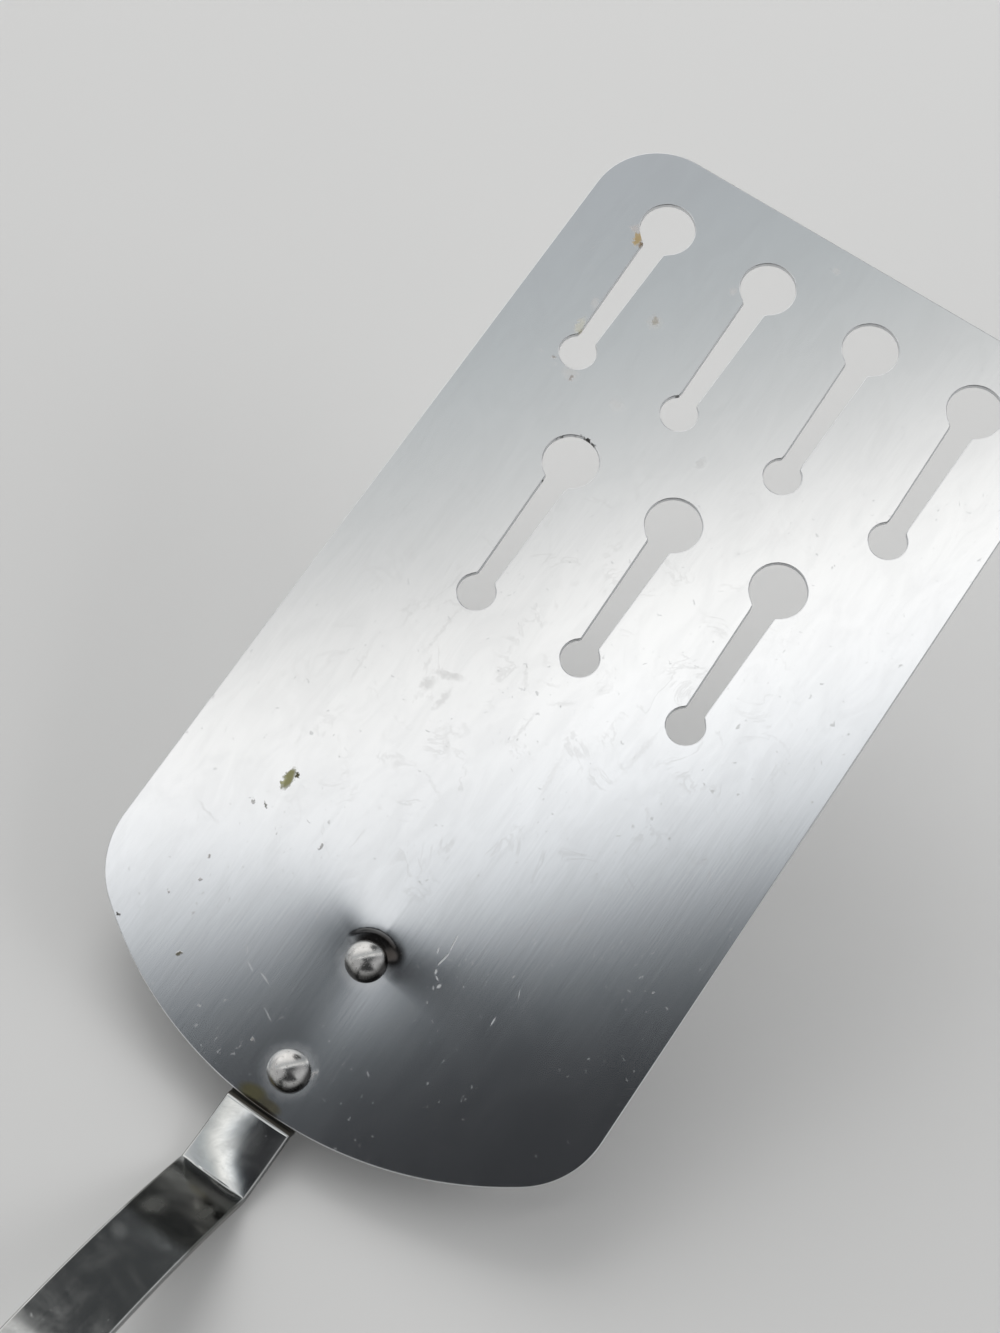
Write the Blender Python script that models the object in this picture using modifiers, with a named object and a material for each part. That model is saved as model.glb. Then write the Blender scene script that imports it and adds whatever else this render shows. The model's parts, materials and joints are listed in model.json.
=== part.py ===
"""Slotted turner: a flat steel blade riveted to a bent strip shank, with a two-part riveted handle.

The pieces are modelled in the blade's own frame: its origin is the middle of the blade's rear edge, its
upper face is z = 0 and its tip points along +Y. At the end the whole turner is tipped back onto the
shank's bend and the handle's end, the way it lies on a table.
"""

import math

import bmesh
import bpy
import numpy as np
from mathutils import Matrix

MM = 0.001
DEGREE = math.pi / 180.0

# Blade
BLADE_WIDTH = 76.2 * MM
BLADE_LENGTH = 144.0 * MM
BLADE_THICKNESS = 0.8 * MM
TIP_CORNER_RADIUS = 10.2 * MM
REAR_ARC_RADIUS = 55.8 * MM
REAR_CORNER_RADIUS = 12.7 * MM

# Keyhole slots: a large hole towards the tip, a small one behind it, and a tapering cut that joins them
LARGE_HOLE_DIAMETER = 7.9 * MM
SMALL_HOLE_DIAMETER = 5.3 * MM
SLOT_HOLE_SPACING = 22.95 * MM
SLOT_FRONT_WIDTH = 3.5 * MM
SLOT_REAR_WIDTH = 2.6 * MM
SLOT_PITCH = 16.95 * MM
FRONT_ROW_COUNT = 4
REAR_ROW_COUNT = 3
FRONT_ROW_INSET = 11.2 * MM
ROW_SPACING = 37.3 * MM

# Round-head rivets that hold the blade on the shank
RIVET_DIAMETER = 3.2 * MM
RIVET_HEAD_DIAMETER = 5.6 * MM
RIVET_HEAD_HEIGHT = 2.2 * MM
RIVET_TAIL_DIAMETER = 5.2 * MM
RIVET_TAIL_HEIGHT = 1.0 * MM
REAR_RIVET_INSET = 5.9 * MM
BLADE_RIVET_SPACING = 17.05 * MM

# Strip shank: it lies under the blade, steps up behind it, bends up and curves back to the handle
SHANK_WIDTH = 9.85 * MM
SHANK_THICKNESS = 1.6 * MM
SHANK_END_MARGIN = 4.0 * MM
SHANK_CORNER_RADIUS = 3.0 * MM
STEP_DROP = 0.2 * MM
STEP_RADIUS = 1.0 * MM
STEP_ANGLE = 45.0 * DEGREE
NECK_LENGTH = 6.7 * MM
BEND_RADIUS = 3.5 * MM
BEND_ANGLE = 56.0 * DEGREE
GOOSENECK_RADIUS = 120.0 * MM
HANDLE_ANGLE = 12.0 * DEGREE
TANG_LEAD = 5.0 * MM
TANG_LENGTH = 78.0 * MM

# Handle: two moulded halves that close over the tang
HANDLE_LENGTH = 108.0 * MM
HANDLE_WIDTH = 24.0 * MM
HANDLE_HEIGHT = 15.5 * MM
HANDLE_FRONT_WIDTH = 15.5 * MM
HANDLE_END_WIDTH = 21.0 * MM
HANDLE_SWELL_POSITION = 66.0 * MM
HANDLE_FRONT_ROUNDING = 2.2 * MM
HANDLE_END_ROUNDING = 5.0 * MM
HANDLE_SQUARENESS = 2.4

# Flush rivets through the handle and the tang
HANDLE_RIVET_DIAMETER = 4.0 * MM
HANDLE_RIVET_HEAD_DIAMETER = 8.0 * MM
HANDLE_RIVET_RIM = 0.8 * MM
HANDLE_RIVET_CROWN = 0.5 * MM
HANDLE_RIVET_SINK = 1.0 * MM
FRONT_HANDLE_RIVET_INSET = 20.0 * MM
TANG_END_MARGIN = 16.0 * MM

# Tubular eyelet in the hanging hole
EYELET_BORE_DIAMETER = 8.0 * MM
EYELET_WALL = 0.8 * MM
EYELET_FLANGE_DIAMETER = 13.5 * MM
EYELET_FLANGE_THICKNESS = 0.9 * MM
EYELET_SINK = 1.4 * MM
EYELET_END_INSET = 14.0 * MM

# Fits: the clearance between pieces that touch, and the reach of a cutting tool past what it cuts
SEAT_GAP = 0.3 * MM
HOLE_GAP = 0.2 * MM
TOOL_REACH = 20.0 * MM
WELD = 0.001 * MM

# Fineness of round shapes
ARC_STEP = 12.0 * DEGREE
ARC_TOLERANCE = 0.03 * MM
TURN_STEPS = 24
SECTION_POINTS = 28
HANDLE_STATIONS = 12
ROUNDING_SEGMENTS = 4
SHARP_ANGLE = 30.0 * DEGREE

# Places that follow from the sizes above
FRONT_ROW_Y = BLADE_LENGTH - FRONT_ROW_INSET
REAR_ROW_Y = FRONT_ROW_Y - ROW_SPACING
FRONT_RIVET_Y = REAR_RIVET_INSET + BLADE_RIVET_SPACING
SHANK_FRONT_Y = FRONT_RIVET_Y + SHANK_END_MARGIN
SHANK_TOP_Z = -BLADE_THICKNESS - SEAT_GAP
SHANK_UNDER_Z = SHANK_TOP_Z - SHANK_THICKNESS
STEP_RISE = -STEP_DROP - SHANK_TOP_Z
HANDLE_RIVET_INSETS = (FRONT_HANDLE_RIVET_INSET, TANG_LENGTH - TANG_END_MARGIN)
EYELET_INSET = HANDLE_LENGTH - EYELET_END_INSET


def clear_scene():
    for thing in list(bpy.data.objects):
        bpy.data.objects.remove(thing, do_unlink=True)


def new_collection(name):
    collection = bpy.data.collections.new(name)
    bpy.context.scene.collection.children.link(collection)
    return collection


def new_frame(name, parent=None):
    """Empty that carries the pieces modelled in its axes."""
    frame = bpy.data.objects.new(name, None)
    frame.parent = parent
    bpy.context.scene.collection.objects.link(frame)
    return frame


def new_part(name, mesh, parent, material):
    part = bpy.data.objects.new(name, mesh)
    part.parent = parent
    mesh.materials.append(material)
    mesh.shade_smooth()
    mesh.set_sharp_from_angle(angle=SHARP_ANGLE)
    bpy.data.collections["slotted_turner"].objects.link(part)
    return part


def new_tool(name, mesh, parent):
    """Cutting shape, left out of the object itself."""
    tool = bpy.data.objects.new(name, mesh)
    tool.parent = parent
    tool.hide_render = True
    tool.display_type = 'WIRE'
    bpy.data.collections["cutting_tools"].objects.link(tool)
    return tool


def new_finish(name, colour, roughness, metallic):
    finish = bpy.data.materials.new(name)
    finish.use_nodes = True
    shader = finish.node_tree.nodes["Principled BSDF"]
    shader.inputs["Base Color"].default_value = (*colour, 1.0)
    shader.inputs["Roughness"].default_value = roughness
    shader.inputs["Metallic"].default_value = metallic
    return finish


def cut(part, tool, operation='DIFFERENCE'):
    boolean = part.modifiers.new(tool.name, 'BOOLEAN')
    boolean.operation = operation
    boolean.solver = 'EXACT'
    boolean.object = tool


def arc_steps(radius, angle):
    """Even count of straight steps that keeps a faceted arc within ARC_TOLERANCE of the true one."""
    step = min(ARC_STEP, 2.0 * math.acos(1.0 - ARC_TOLERANCE / radius))
    return 2 * math.ceil(abs(angle) / step / 2.0)


def arc(centre, radius, start, end):
    """Points on a circle from one angle to another, both ends included."""
    angles = np.linspace(start, end, arc_steps(radius, end - start) + 1)
    return [(centre[0] + radius * math.cos(a), centre[1] + radius * math.sin(a)) for a in angles]


def welded(mesh):
    shape = bmesh.new()
    shape.from_mesh(mesh)
    bmesh.ops.remove_doubles(shape, verts=shape.verts, dist=WELD)
    bmesh.ops.dissolve_degenerate(shape, edges=shape.edges, dist=WELD)
    bmesh.ops.recalc_face_normals(shape, faces=shape.faces)
    shape.to_mesh(mesh)
    shape.free()
    return mesh


def mesh_of_curve(curve):
    guide = bpy.data.objects.new(curve.name, curve)
    bpy.context.scene.collection.objects.link(guide)
    graph = bpy.context.evaluated_depsgraph_get()
    mesh = bpy.data.meshes.new_from_object(guide.evaluated_get(graph))
    bpy.data.objects.remove(guide)
    return welded(mesh)


def add_spline(curve, points, closed):
    spline = curve.splines.new('POLY')
    spline.points.add(len(points) - 1)
    for control, point in zip(spline.points, points):
        control.co = (*point, 1.0)
    spline.use_cyclic_u = closed
    return spline


def plate(name, outlines, thickness):
    """Flat plate centred on z = 0: the first outline is its rim, the others are holes through it."""
    curve = bpy.data.curves.new(name, 'CURVE')
    curve.dimensions = '2D'
    curve.fill_mode = 'BOTH'
    curve.extrude = thickness / 2.0
    for outline in outlines:
        add_spline(curve, [(x, y, 0.0) for x, y in outline], closed=True)
    return mesh_of_curve(curve)


def turn(body, profile, closed=False):
    """Turns a (radius, height) profile, which runs down its outer side, about the body's Z axis."""
    edges = [(i, i + 1) for i in range(len(profile) - 1)]
    if closed:
        edges.append((len(profile) - 1, 0))
    body.data.from_pydata([(radius, 0.0, height) for radius, height in profile], edges, [])
    screw = body.modifiers.new("turn", 'SCREW')
    screw.angle = 2.0 * math.pi
    screw.steps = TURN_STEPS
    screw.render_steps = TURN_STEPS
    screw.use_merge_vertices = True
    screw.merge_threshold = WELD
    return body


def box(name, low, high, parent):
    """Cutting box between two corners."""
    shape = bmesh.new()
    bmesh.ops.create_cube(shape, size=1.0)
    size = [b - a for a, b in zip(low, high)]
    middle = [(a + b) / 2.0 for a, b in zip(low, high)]
    bmesh.ops.transform(shape, verts=shape.verts, matrix=Matrix.LocRotScale(middle, None, size))
    mesh = bpy.data.meshes.new(name)
    shape.to_mesh(mesh)
    shape.free()
    return new_tool(name, mesh, parent)


def pin(name, radius, parent, location):
    """Cutting pin along local Z, long enough to pass through the turner."""
    profile = [(0.0, TOOL_REACH), (radius, TOOL_REACH), (radius, -TOOL_REACH), (0.0, -TOOL_REACH)]
    tool = turn(new_tool(name, bpy.data.meshes.new(name), parent), profile)
    tool.location = location
    return tool


# Blade

def blade_outline():
    """Rear arc, rear corner and tip corner of the right half, then the same mirrored on the left."""
    half = BLADE_WIDTH / 2.0
    reach = REAR_ARC_RADIUS - REAR_CORNER_RADIUS
    across = half - REAR_CORNER_RADIUS
    corner_y = REAR_ARC_RADIUS - math.sqrt(reach ** 2 - across ** 2)
    meeting = math.atan2(corner_y - REAR_ARC_RADIUS, across)
    right = arc((0.0, REAR_ARC_RADIUS), REAR_ARC_RADIUS, -math.pi / 2.0, meeting)
    right += arc((across, corner_y), REAR_CORNER_RADIUS, meeting, 0.0)[1:]
    tip_centre = (half - TIP_CORNER_RADIUS, BLADE_LENGTH - TIP_CORNER_RADIUS)
    right += arc(tip_centre, TIP_CORNER_RADIUS, 0.0, math.pi / 2.0)
    left = [(-x, y) for x, y in reversed(right[1:])]
    return right + left


def slot_outline(x, y):
    """Keyhole slot whose large hole is centred on (x, y)."""
    large = LARGE_HOLE_DIAMETER / 2.0
    small = SMALL_HOLE_DIAMETER / 2.0
    mouth = math.asin(SLOT_FRONT_WIDTH / 2.0 / large)
    foot = math.asin(SLOT_REAR_WIDTH / 2.0 / small)
    quarter = math.pi / 2.0
    front = arc((x, y), large, -quarter + mouth, 3.0 * quarter - mouth)
    rear = arc((x, y - SLOT_HOLE_SPACING), small, quarter + foot, 5.0 * quarter - foot)
    return front + rear


def slot_centres():
    for count, y in ((FRONT_ROW_COUNT, FRONT_ROW_Y), (REAR_ROW_COUNT, REAR_ROW_Y)):
        for i in range(count):
            yield (i - (count - 1) / 2.0) * SLOT_PITCH, y


def make_blade(parent, finish):
    hole = RIVET_DIAMETER / 2.0 + HOLE_GAP
    outlines = [blade_outline()]
    outlines += [slot_outline(x, y) for x, y in slot_centres()]
    outlines += [arc((0.0, y), hole, 0.0, 2.0 * math.pi)[:-1] for y in (FRONT_RIVET_Y, REAR_RIVET_INSET)]
    mesh = plate("blade", outlines, BLADE_THICKNESS)
    mesh.transform(Matrix.Translation((0.0, 0.0, -BLADE_THICKNESS / 2.0)))
    new_part("blade", mesh, parent, finish)


def make_blade_rivet(name, y, parent, finish):
    """Round-head rivet: a domed head on the blade, a pin through both sheets, a flat tail below."""
    head = RIVET_HEAD_DIAMETER / 2.0
    body = RIVET_DIAMETER / 2.0
    tail = RIVET_TAIL_DIAMETER / 2.0
    ball = (head ** 2 + RIVET_HEAD_HEIGHT ** 2) / (2.0 * RIVET_HEAD_HEIGHT)
    dome_centre = (0.0, SEAT_GAP + RIVET_HEAD_HEIGHT - ball)
    rim = math.asin((SEAT_GAP - dome_centre[1]) / ball)
    tail_top = SHANK_UNDER_Z - SEAT_GAP
    profile = arc(dome_centre, ball, math.pi / 2.0, rim)
    profile[0] = (0.0, SEAT_GAP + RIVET_HEAD_HEIGHT)
    profile += [(body, SEAT_GAP), (body, tail_top), (tail, tail_top)]
    profile += [(tail, tail_top - RIVET_TAIL_HEIGHT), (0.0, tail_top - RIVET_TAIL_HEIGHT)]
    rivet = turn(new_part(name, bpy.data.meshes.new(name), parent, finish), profile)
    rivet.location.y = y


# Shank

def shank_stations():
    """Centre line of the strip from its front end to the tang's end, as (y, z, climb) stations."""
    ramp = (STEP_RISE - 2.0 * STEP_RADIUS * (1.0 - math.cos(STEP_ANGLE))) / math.sin(STEP_ANGLE)
    moves = [
        (SHANK_FRONT_Y, 0.0, 0.0),
        (0.0, STEP_RADIUS, STEP_ANGLE),
        (ramp, STEP_RADIUS, -STEP_ANGLE),
        (NECK_LENGTH, BEND_RADIUS, BEND_ANGLE),
        (0.0, GOOSENECK_RADIUS, HANDLE_ANGLE - BEND_ANGLE),
        (TANG_LEAD, 0.0, 0.0),
        (TANG_LENGTH, 0.0, 0.0),
    ]
    y = SHANK_FRONT_Y
    z = SHANK_TOP_Z - SHANK_THICKNESS / 2.0
    climb = 0.0
    stations = [(y, z, climb)]
    for run, radius, angle in moves:
        if run:
            y -= run * math.cos(climb)
            z += run * math.sin(climb)
            stations.append((y, z, climb))
        if angle:
            for turned in np.linspace(0.0, angle, arc_steps(radius, angle) + 1)[1:]:
                side = radius * math.copysign(1.0, angle)
                bend_y = y - side * (math.sin(climb + turned) - math.sin(climb))
                bend_z = z + side * (math.cos(climb) - math.cos(climb + turned))
                stations.append((bend_y, bend_z, climb + turned))
            y, z, climb = stations[-1]
    return stations


def handle_front():
    """Point of the strip's centre line at the handle's front face."""
    return shank_stations()[-2][:2]


def shank_blank(stations, parent):
    """Plan view of the strip, as a cutting shape: straight sides and a rounded front end."""
    half = SHANK_WIDTH / 2.0
    corner = (half - SHANK_CORNER_RADIUS, SHANK_FRONT_Y - SHANK_CORNER_RADIUS)
    right = [(half, stations[-1][0] - TOOL_REACH), *arc(corner, SHANK_CORNER_RADIUS, 0.0, math.pi / 2.0)]
    left = [(-x, y) for x, y in reversed(right)]
    tall = 2.0 * (stations[-1][1] + TOOL_REACH)
    return new_tool("shank_blank", plate("shank_blank", [right + left], tall), parent)


def make_shank(blade_frame, handle_frame, finish):
    """Side view of the bent strip, drawn wide and then trimmed to its plan view."""
    stations = shank_stations()
    half = SHANK_THICKNESS / 2.0
    upper = [(y + half * math.sin(climb), z + half * math.cos(climb)) for y, z, climb in stations]
    under = [(y - half * math.sin(climb), z - half * math.cos(climb)) for y, z, climb in reversed(stations)]
    mesh = plate("shank", [upper + under], SHANK_WIDTH + TOOL_REACH)
    side_view = Matrix(((0, 0, 1, 0), (1, 0, 0, 0), (0, 1, 0, 0), (0, 0, 0, 1)))
    mesh.transform(side_view)
    shank = new_part("shank", mesh, blade_frame, finish)
    cut(shank, shank_blank(stations, blade_frame), 'INTERSECT')
    hole = RIVET_DIAMETER / 2.0 + HOLE_GAP
    cut(shank, pin("front_rivet_hole", hole, blade_frame, (0.0, FRONT_RIVET_Y, 0.0)))
    cut(shank, pin("rear_rivet_hole", hole, blade_frame, (0.0, REAR_RIVET_INSET, 0.0)))
    tang_hole = HANDLE_RIVET_DIAMETER / 2.0 + HOLE_GAP
    for i, inset in enumerate(HANDLE_RIVET_INSETS):
        cut(shank, pin(f"tang_hole_{i}", tang_hole, handle_frame, (0.0, -inset, 0.0)))


# Handle, in its own frame: the tang's middle plane is z = 0 and the grip runs back along -Y

def end_rounding(distance, radius, half_height):
    """Share of the section left near an end face, where the surface rolls in by a quarter circle."""
    if distance >= radius:
        return 1.0
    retreat = radius - math.sqrt(radius ** 2 - (radius - distance) ** 2)
    return 1.0 - retreat / half_height


def handle_scale(inset):
    """Share of the full section at a distance behind the handle's front face."""
    front_share = HANDLE_FRONT_WIDTH / HANDLE_WIDTH
    end_share = HANDLE_END_WIDTH / HANDLE_WIDTH
    if inset < HANDLE_SWELL_POSITION:
        share = 1.0 - (1.0 - front_share) * (1.0 - inset / HANDLE_SWELL_POSITION) ** 2
    else:
        away = (inset - HANDLE_SWELL_POSITION) / (HANDLE_LENGTH - HANDLE_SWELL_POSITION)
        share = 1.0 - (1.0 - end_share) * away ** 2
    share *= end_rounding(inset, HANDLE_FRONT_ROUNDING, front_share * HANDLE_HEIGHT / 2.0)
    return share * end_rounding(HANDLE_LENGTH - inset, HANDLE_END_ROUNDING, end_share * HANDLE_HEIGHT / 2.0)


def handle_insets():
    """Stations along the handle, closer together where its ends roll in."""
    quarter = np.linspace(0.0, math.pi / 2.0, ROUNDING_SEGMENTS + 1)
    rolled = 1.0 - np.cos(quarter)
    front = HANDLE_FRONT_ROUNDING * rolled
    end = HANDLE_LENGTH - HANDLE_END_ROUNDING * rolled[::-1]
    body = np.linspace(front[-1], end[0], HANDLE_STATIONS)
    return [*front, *body[1:-1], *end]


def crown(inset):
    """Height of the handle's surface above the tang's middle plane."""
    return HANDLE_HEIGHT / 2.0 * handle_scale(inset)


def section_curve():
    """Rounded oval across the handle, a superellipse."""
    curve = bpy.data.curves.new("handle_section", 'CURVE')
    curve.dimensions = '2D'
    points = []
    for angle in np.linspace(0.0, 2.0 * math.pi, SECTION_POINTS, endpoint=False):
        across, up = math.cos(angle), math.sin(angle)
        x = math.copysign(abs(across) ** (2.0 / HANDLE_SQUARENESS), across) * HANDLE_WIDTH / 2.0
        z = math.copysign(abs(up) ** (2.0 / HANDLE_SQUARENESS), up) * HANDLE_HEIGHT / 2.0
        points.append((x, z, 0.0))
    add_spline(curve, points, closed=True)
    section = bpy.data.objects.new("handle_section", curve)
    bpy.context.scene.collection.objects.link(section)
    return section


def handle_blank():
    """Whole handle before it is split: the oval section swept along the tang, swelling towards the end."""
    section = section_curve()
    path = bpy.data.curves.new("handle_blank", 'CURVE')
    path.dimensions = '3D'
    path.twist_mode = 'Z_UP'
    path.bevel_mode = 'OBJECT'
    path.bevel_object = section
    path.use_fill_caps = True
    insets = handle_insets()
    spline = add_spline(path, [(0.0, -inset, 0.0) for inset in insets], closed=False)
    for control, inset in zip(spline.points, insets):
        control.radius = handle_scale(inset)
    mesh = mesh_of_curve(path)
    bpy.data.objects.remove(section)
    return mesh


def stepped_pin(name, inset, bore, seat, recess, parent):
    """Cutting pin with a wider recess above and below the seats of a fastener's heads."""
    profile = [(0.0, TOOL_REACH), (recess, TOOL_REACH), (recess, seat), (bore, seat)]
    profile += [(radius, -height) for radius, height in reversed(profile)]
    tool = turn(new_tool(name, bpy.data.meshes.new(name), parent), profile)
    tool.location.y = -inset
    return tool


def fastener_tools(parent):
    """Cutting pins for the two handle rivets and the eyelet."""
    bore = HANDLE_RIVET_DIAMETER / 2.0 + HOLE_GAP
    recess = HANDLE_RIVET_HEAD_DIAMETER / 2.0 + HOLE_GAP
    for i, inset in enumerate(HANDLE_RIVET_INSETS):
        seat = crown(inset) - HANDLE_RIVET_SINK
        yield stepped_pin(f"handle_rivet_hole_{i}", inset, bore, seat, recess, parent)
    bore = EYELET_BORE_DIAMETER / 2.0 + EYELET_WALL + HOLE_GAP
    recess = EYELET_FLANGE_DIAMETER / 2.0 + HOLE_GAP
    seat = crown(EYELET_INSET) - EYELET_SINK
    yield stepped_pin("eyelet_hole", EYELET_INSET, bore, seat, recess, parent)


def make_handle(parent, finish):
    """Two halves that part on the tang's middle plane, with a channel for the tang between them."""
    side = SHANK_WIDTH / 2.0 + SEAT_GAP
    depth = SHANK_THICKNESS / 2.0 + SEAT_GAP
    channel_end = TANG_LENGTH + SEAT_GAP
    channel = box("tang_channel", (-side, -channel_end, -depth), (side, TOOL_REACH, depth), parent)
    tools = [channel, *fastener_tools(parent)]
    parting = SEAT_GAP / 2.0
    rear = -HANDLE_LENGTH - TOOL_REACH
    for name, bottom, top in (
        ("handle_half_upper", parting, HANDLE_HEIGHT),
        ("handle_half_lower", -HANDLE_HEIGHT, -parting),
    ):
        room = box(f"{name}_room", (-HANDLE_WIDTH, rear, bottom), (HANDLE_WIDTH, TOOL_REACH, top), parent)
        half = new_part(name, handle_blank(), parent, finish)
        cut(half, room, 'INTERSECT')
        for tool in tools:
            cut(half, tool)


def make_handle_rivet(name, inset, parent, finish):
    """Flush rivet with a low crowned head in a recess on each side of the handle."""
    head = HANDLE_RIVET_HEAD_DIAMETER / 2.0
    body = HANDLE_RIVET_DIAMETER / 2.0
    seat = crown(inset) - HANDLE_RIVET_SINK + SEAT_GAP
    rim = seat + HANDLE_RIVET_RIM
    ball = (head ** 2 + HANDLE_RIVET_CROWN ** 2) / (2.0 * HANDLE_RIVET_CROWN)
    centre_height = rim + HANDLE_RIVET_CROWN - ball
    edge_angle = math.acos(head / ball)
    angles = np.linspace(math.pi / 2.0, edge_angle, ROUNDING_SEGMENTS + 1)
    upper = [(ball * math.cos(a), centre_height + ball * math.sin(a)) for a in angles]
    upper[0] = (0.0, rim + HANDLE_RIVET_CROWN)
    upper += [(head, seat), (body, seat)]
    profile = upper + [(radius, -height) for radius, height in reversed(upper)]
    rivet = turn(new_part(name, bpy.data.meshes.new(name), parent, finish), profile)
    rivet.location.y = -inset


def make_eyelet(parent, finish):
    """Tube through the handle with a rolled flange at each end."""
    bore = EYELET_BORE_DIAMETER / 2.0
    tube = bore + EYELET_WALL
    flange = EYELET_FLANGE_DIAMETER / 2.0
    seat = crown(EYELET_INSET) - EYELET_SINK + SEAT_GAP
    roll = EYELET_FLANGE_THICKNESS / 2.0
    lip = arc((flange - roll, seat + roll), roll, math.pi / 2.0, -math.pi / 2.0)
    upper = [(bore, seat + EYELET_FLANGE_THICKNESS), *lip, (tube, seat)]
    profile = upper + [(radius, -height) for radius, height in reversed(upper)]
    eyelet = new_part("hang_eyelet", bpy.data.meshes.new("hang_eyelet"), parent, finish)
    eyelet.location.y = -EYELET_INSET
    turn(eyelet, profile, closed=True)


# Rest

def world_points():
    """Every corner of the finished pieces, in world axes."""
    bpy.context.view_layer.update()
    graph = bpy.context.evaluated_depsgraph_get()
    points = []
    for part in bpy.data.collections["slotted_turner"].objects:
        seen = part.evaluated_get(graph)
        points += [seen.matrix_world @ vertex.co for vertex in seen.to_mesh().vertices]
        seen.to_mesh_clear()
    return np.array(points)


def lie_down(frame):
    """Tips the turner back until bend and handle share one level, then centres it on that level."""
    points = world_points()
    is_grip = points[:, 1] < handle_front()[0]
    front, grip = points[~is_grip], points[is_grip]
    climbs = (grip[:, 2][:, None] - front[:, 2]) / (front[:, 1] - grip[:, 1][:, None])
    frame.rotation_euler.x = math.atan(climbs.max(axis=1).min())
    points = world_points()
    low, high = points.min(axis=0), points.max(axis=0)
    frame.location = (0.0, -(low[1] + high[1]) / 2.0, -low[2])


def main():
    clear_scene()
    new_collection("slotted_turner")
    new_collection("cutting_tools")
    turner_frame = new_frame("turner_frame")
    handle_frame = new_frame("handle_frame", turner_frame)
    handle_frame.location = (0.0, *handle_front())
    handle_frame.rotation_euler.x = -HANDLE_ANGLE

    satin = new_finish("satin_chrome", (0.80, 0.81, 0.82), 0.32, 1.0)
    bright = new_finish("bright_chrome", (0.72, 0.73, 0.72), 0.12, 1.0)
    rivet_steel = new_finish("rivet_steel", (0.62, 0.62, 0.61), 0.30, 1.0)
    moulding = new_finish("black_moulding", (0.02, 0.02, 0.02), 0.35, 0.0)
    nickel = new_finish("nickel", (0.70, 0.69, 0.66), 0.22, 1.0)

    make_blade(turner_frame, satin)
    make_shank(turner_frame, handle_frame, bright)
    make_blade_rivet("blade_rivet_front", FRONT_RIVET_Y, turner_frame, rivet_steel)
    make_blade_rivet("blade_rivet_rear", REAR_RIVET_INSET, turner_frame, rivet_steel)
    make_handle(handle_frame, moulding)
    for name, inset in zip(("handle_rivet_front", "handle_rivet_rear"), HANDLE_RIVET_INSETS):
        make_handle_rivet(name, inset, handle_frame, nickel)
    make_eyelet(handle_frame, nickel)
    lie_down(turner_frame)


main()
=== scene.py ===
"""Slotted turner: finished surfaces, materials, stage and camera around its solid model.

Laid out as an add-on and run as a script. Lengths are in metres, in the axes of the solid model: +Y points
from the handle to the blade's tip and the turner lies on the level z = 0.
"""

import json
import math

import bmesh
import bpy
import numpy as np
from mathutils import Matrix, Vector


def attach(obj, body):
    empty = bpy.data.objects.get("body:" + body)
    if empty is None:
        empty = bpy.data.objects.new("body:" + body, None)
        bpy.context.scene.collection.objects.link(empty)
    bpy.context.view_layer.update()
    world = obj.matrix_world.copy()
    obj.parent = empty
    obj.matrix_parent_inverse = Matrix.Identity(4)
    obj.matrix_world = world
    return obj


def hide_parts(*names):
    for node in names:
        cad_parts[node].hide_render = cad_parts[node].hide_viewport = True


bl_info = {
    "name": "Slotted Turner",
    "version": (1, 0, 0),
    "blender": (4, 5, 0),
    "location": "3D View > Sidebar > Turner",
    "description": "Builds the finished surfaces and the stage of a slotted kitchen turner",
    "category": "Object",
}

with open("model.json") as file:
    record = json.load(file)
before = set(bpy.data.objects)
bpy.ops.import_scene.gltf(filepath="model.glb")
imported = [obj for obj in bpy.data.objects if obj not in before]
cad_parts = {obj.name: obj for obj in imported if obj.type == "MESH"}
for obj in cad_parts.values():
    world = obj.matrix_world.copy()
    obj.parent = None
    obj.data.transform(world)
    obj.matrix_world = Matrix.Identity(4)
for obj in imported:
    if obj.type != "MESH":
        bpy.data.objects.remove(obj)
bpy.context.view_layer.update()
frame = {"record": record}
MOUNTS = {mount["name"]: mount for mount in frame["record"]["mounts"]}
MM = 0.001
DEGREE = math.pi / 180.0
QUARTER = math.pi / 2.0
SHARP = 40.0 * DEGREE


# Settings

def length(name, description, millimetres):
    """Length setting whose default is given in millimetres."""
    return bpy.props.FloatProperty(
        name=name, description=description, default=millimetres * MM, unit='LENGTH', precision=5
    )


def angle(name, description, degrees):
    """Angle setting whose default is given in degrees."""
    return bpy.props.FloatProperty(
        name=name, description=description, default=degrees * DEGREE, unit='ROTATION'
    )


def tint(name, description, colour):
    """Colour setting, in linear red, green and blue."""
    return bpy.props.FloatVectorProperty(
        name=name, description=description, default=colour, subtype='COLOR', size=3, min=0.0, max=1.0
    )


def amount(name, description, value):
    """Plain number setting."""
    return bpy.props.FloatProperty(name=name, description=description, default=value)


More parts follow.
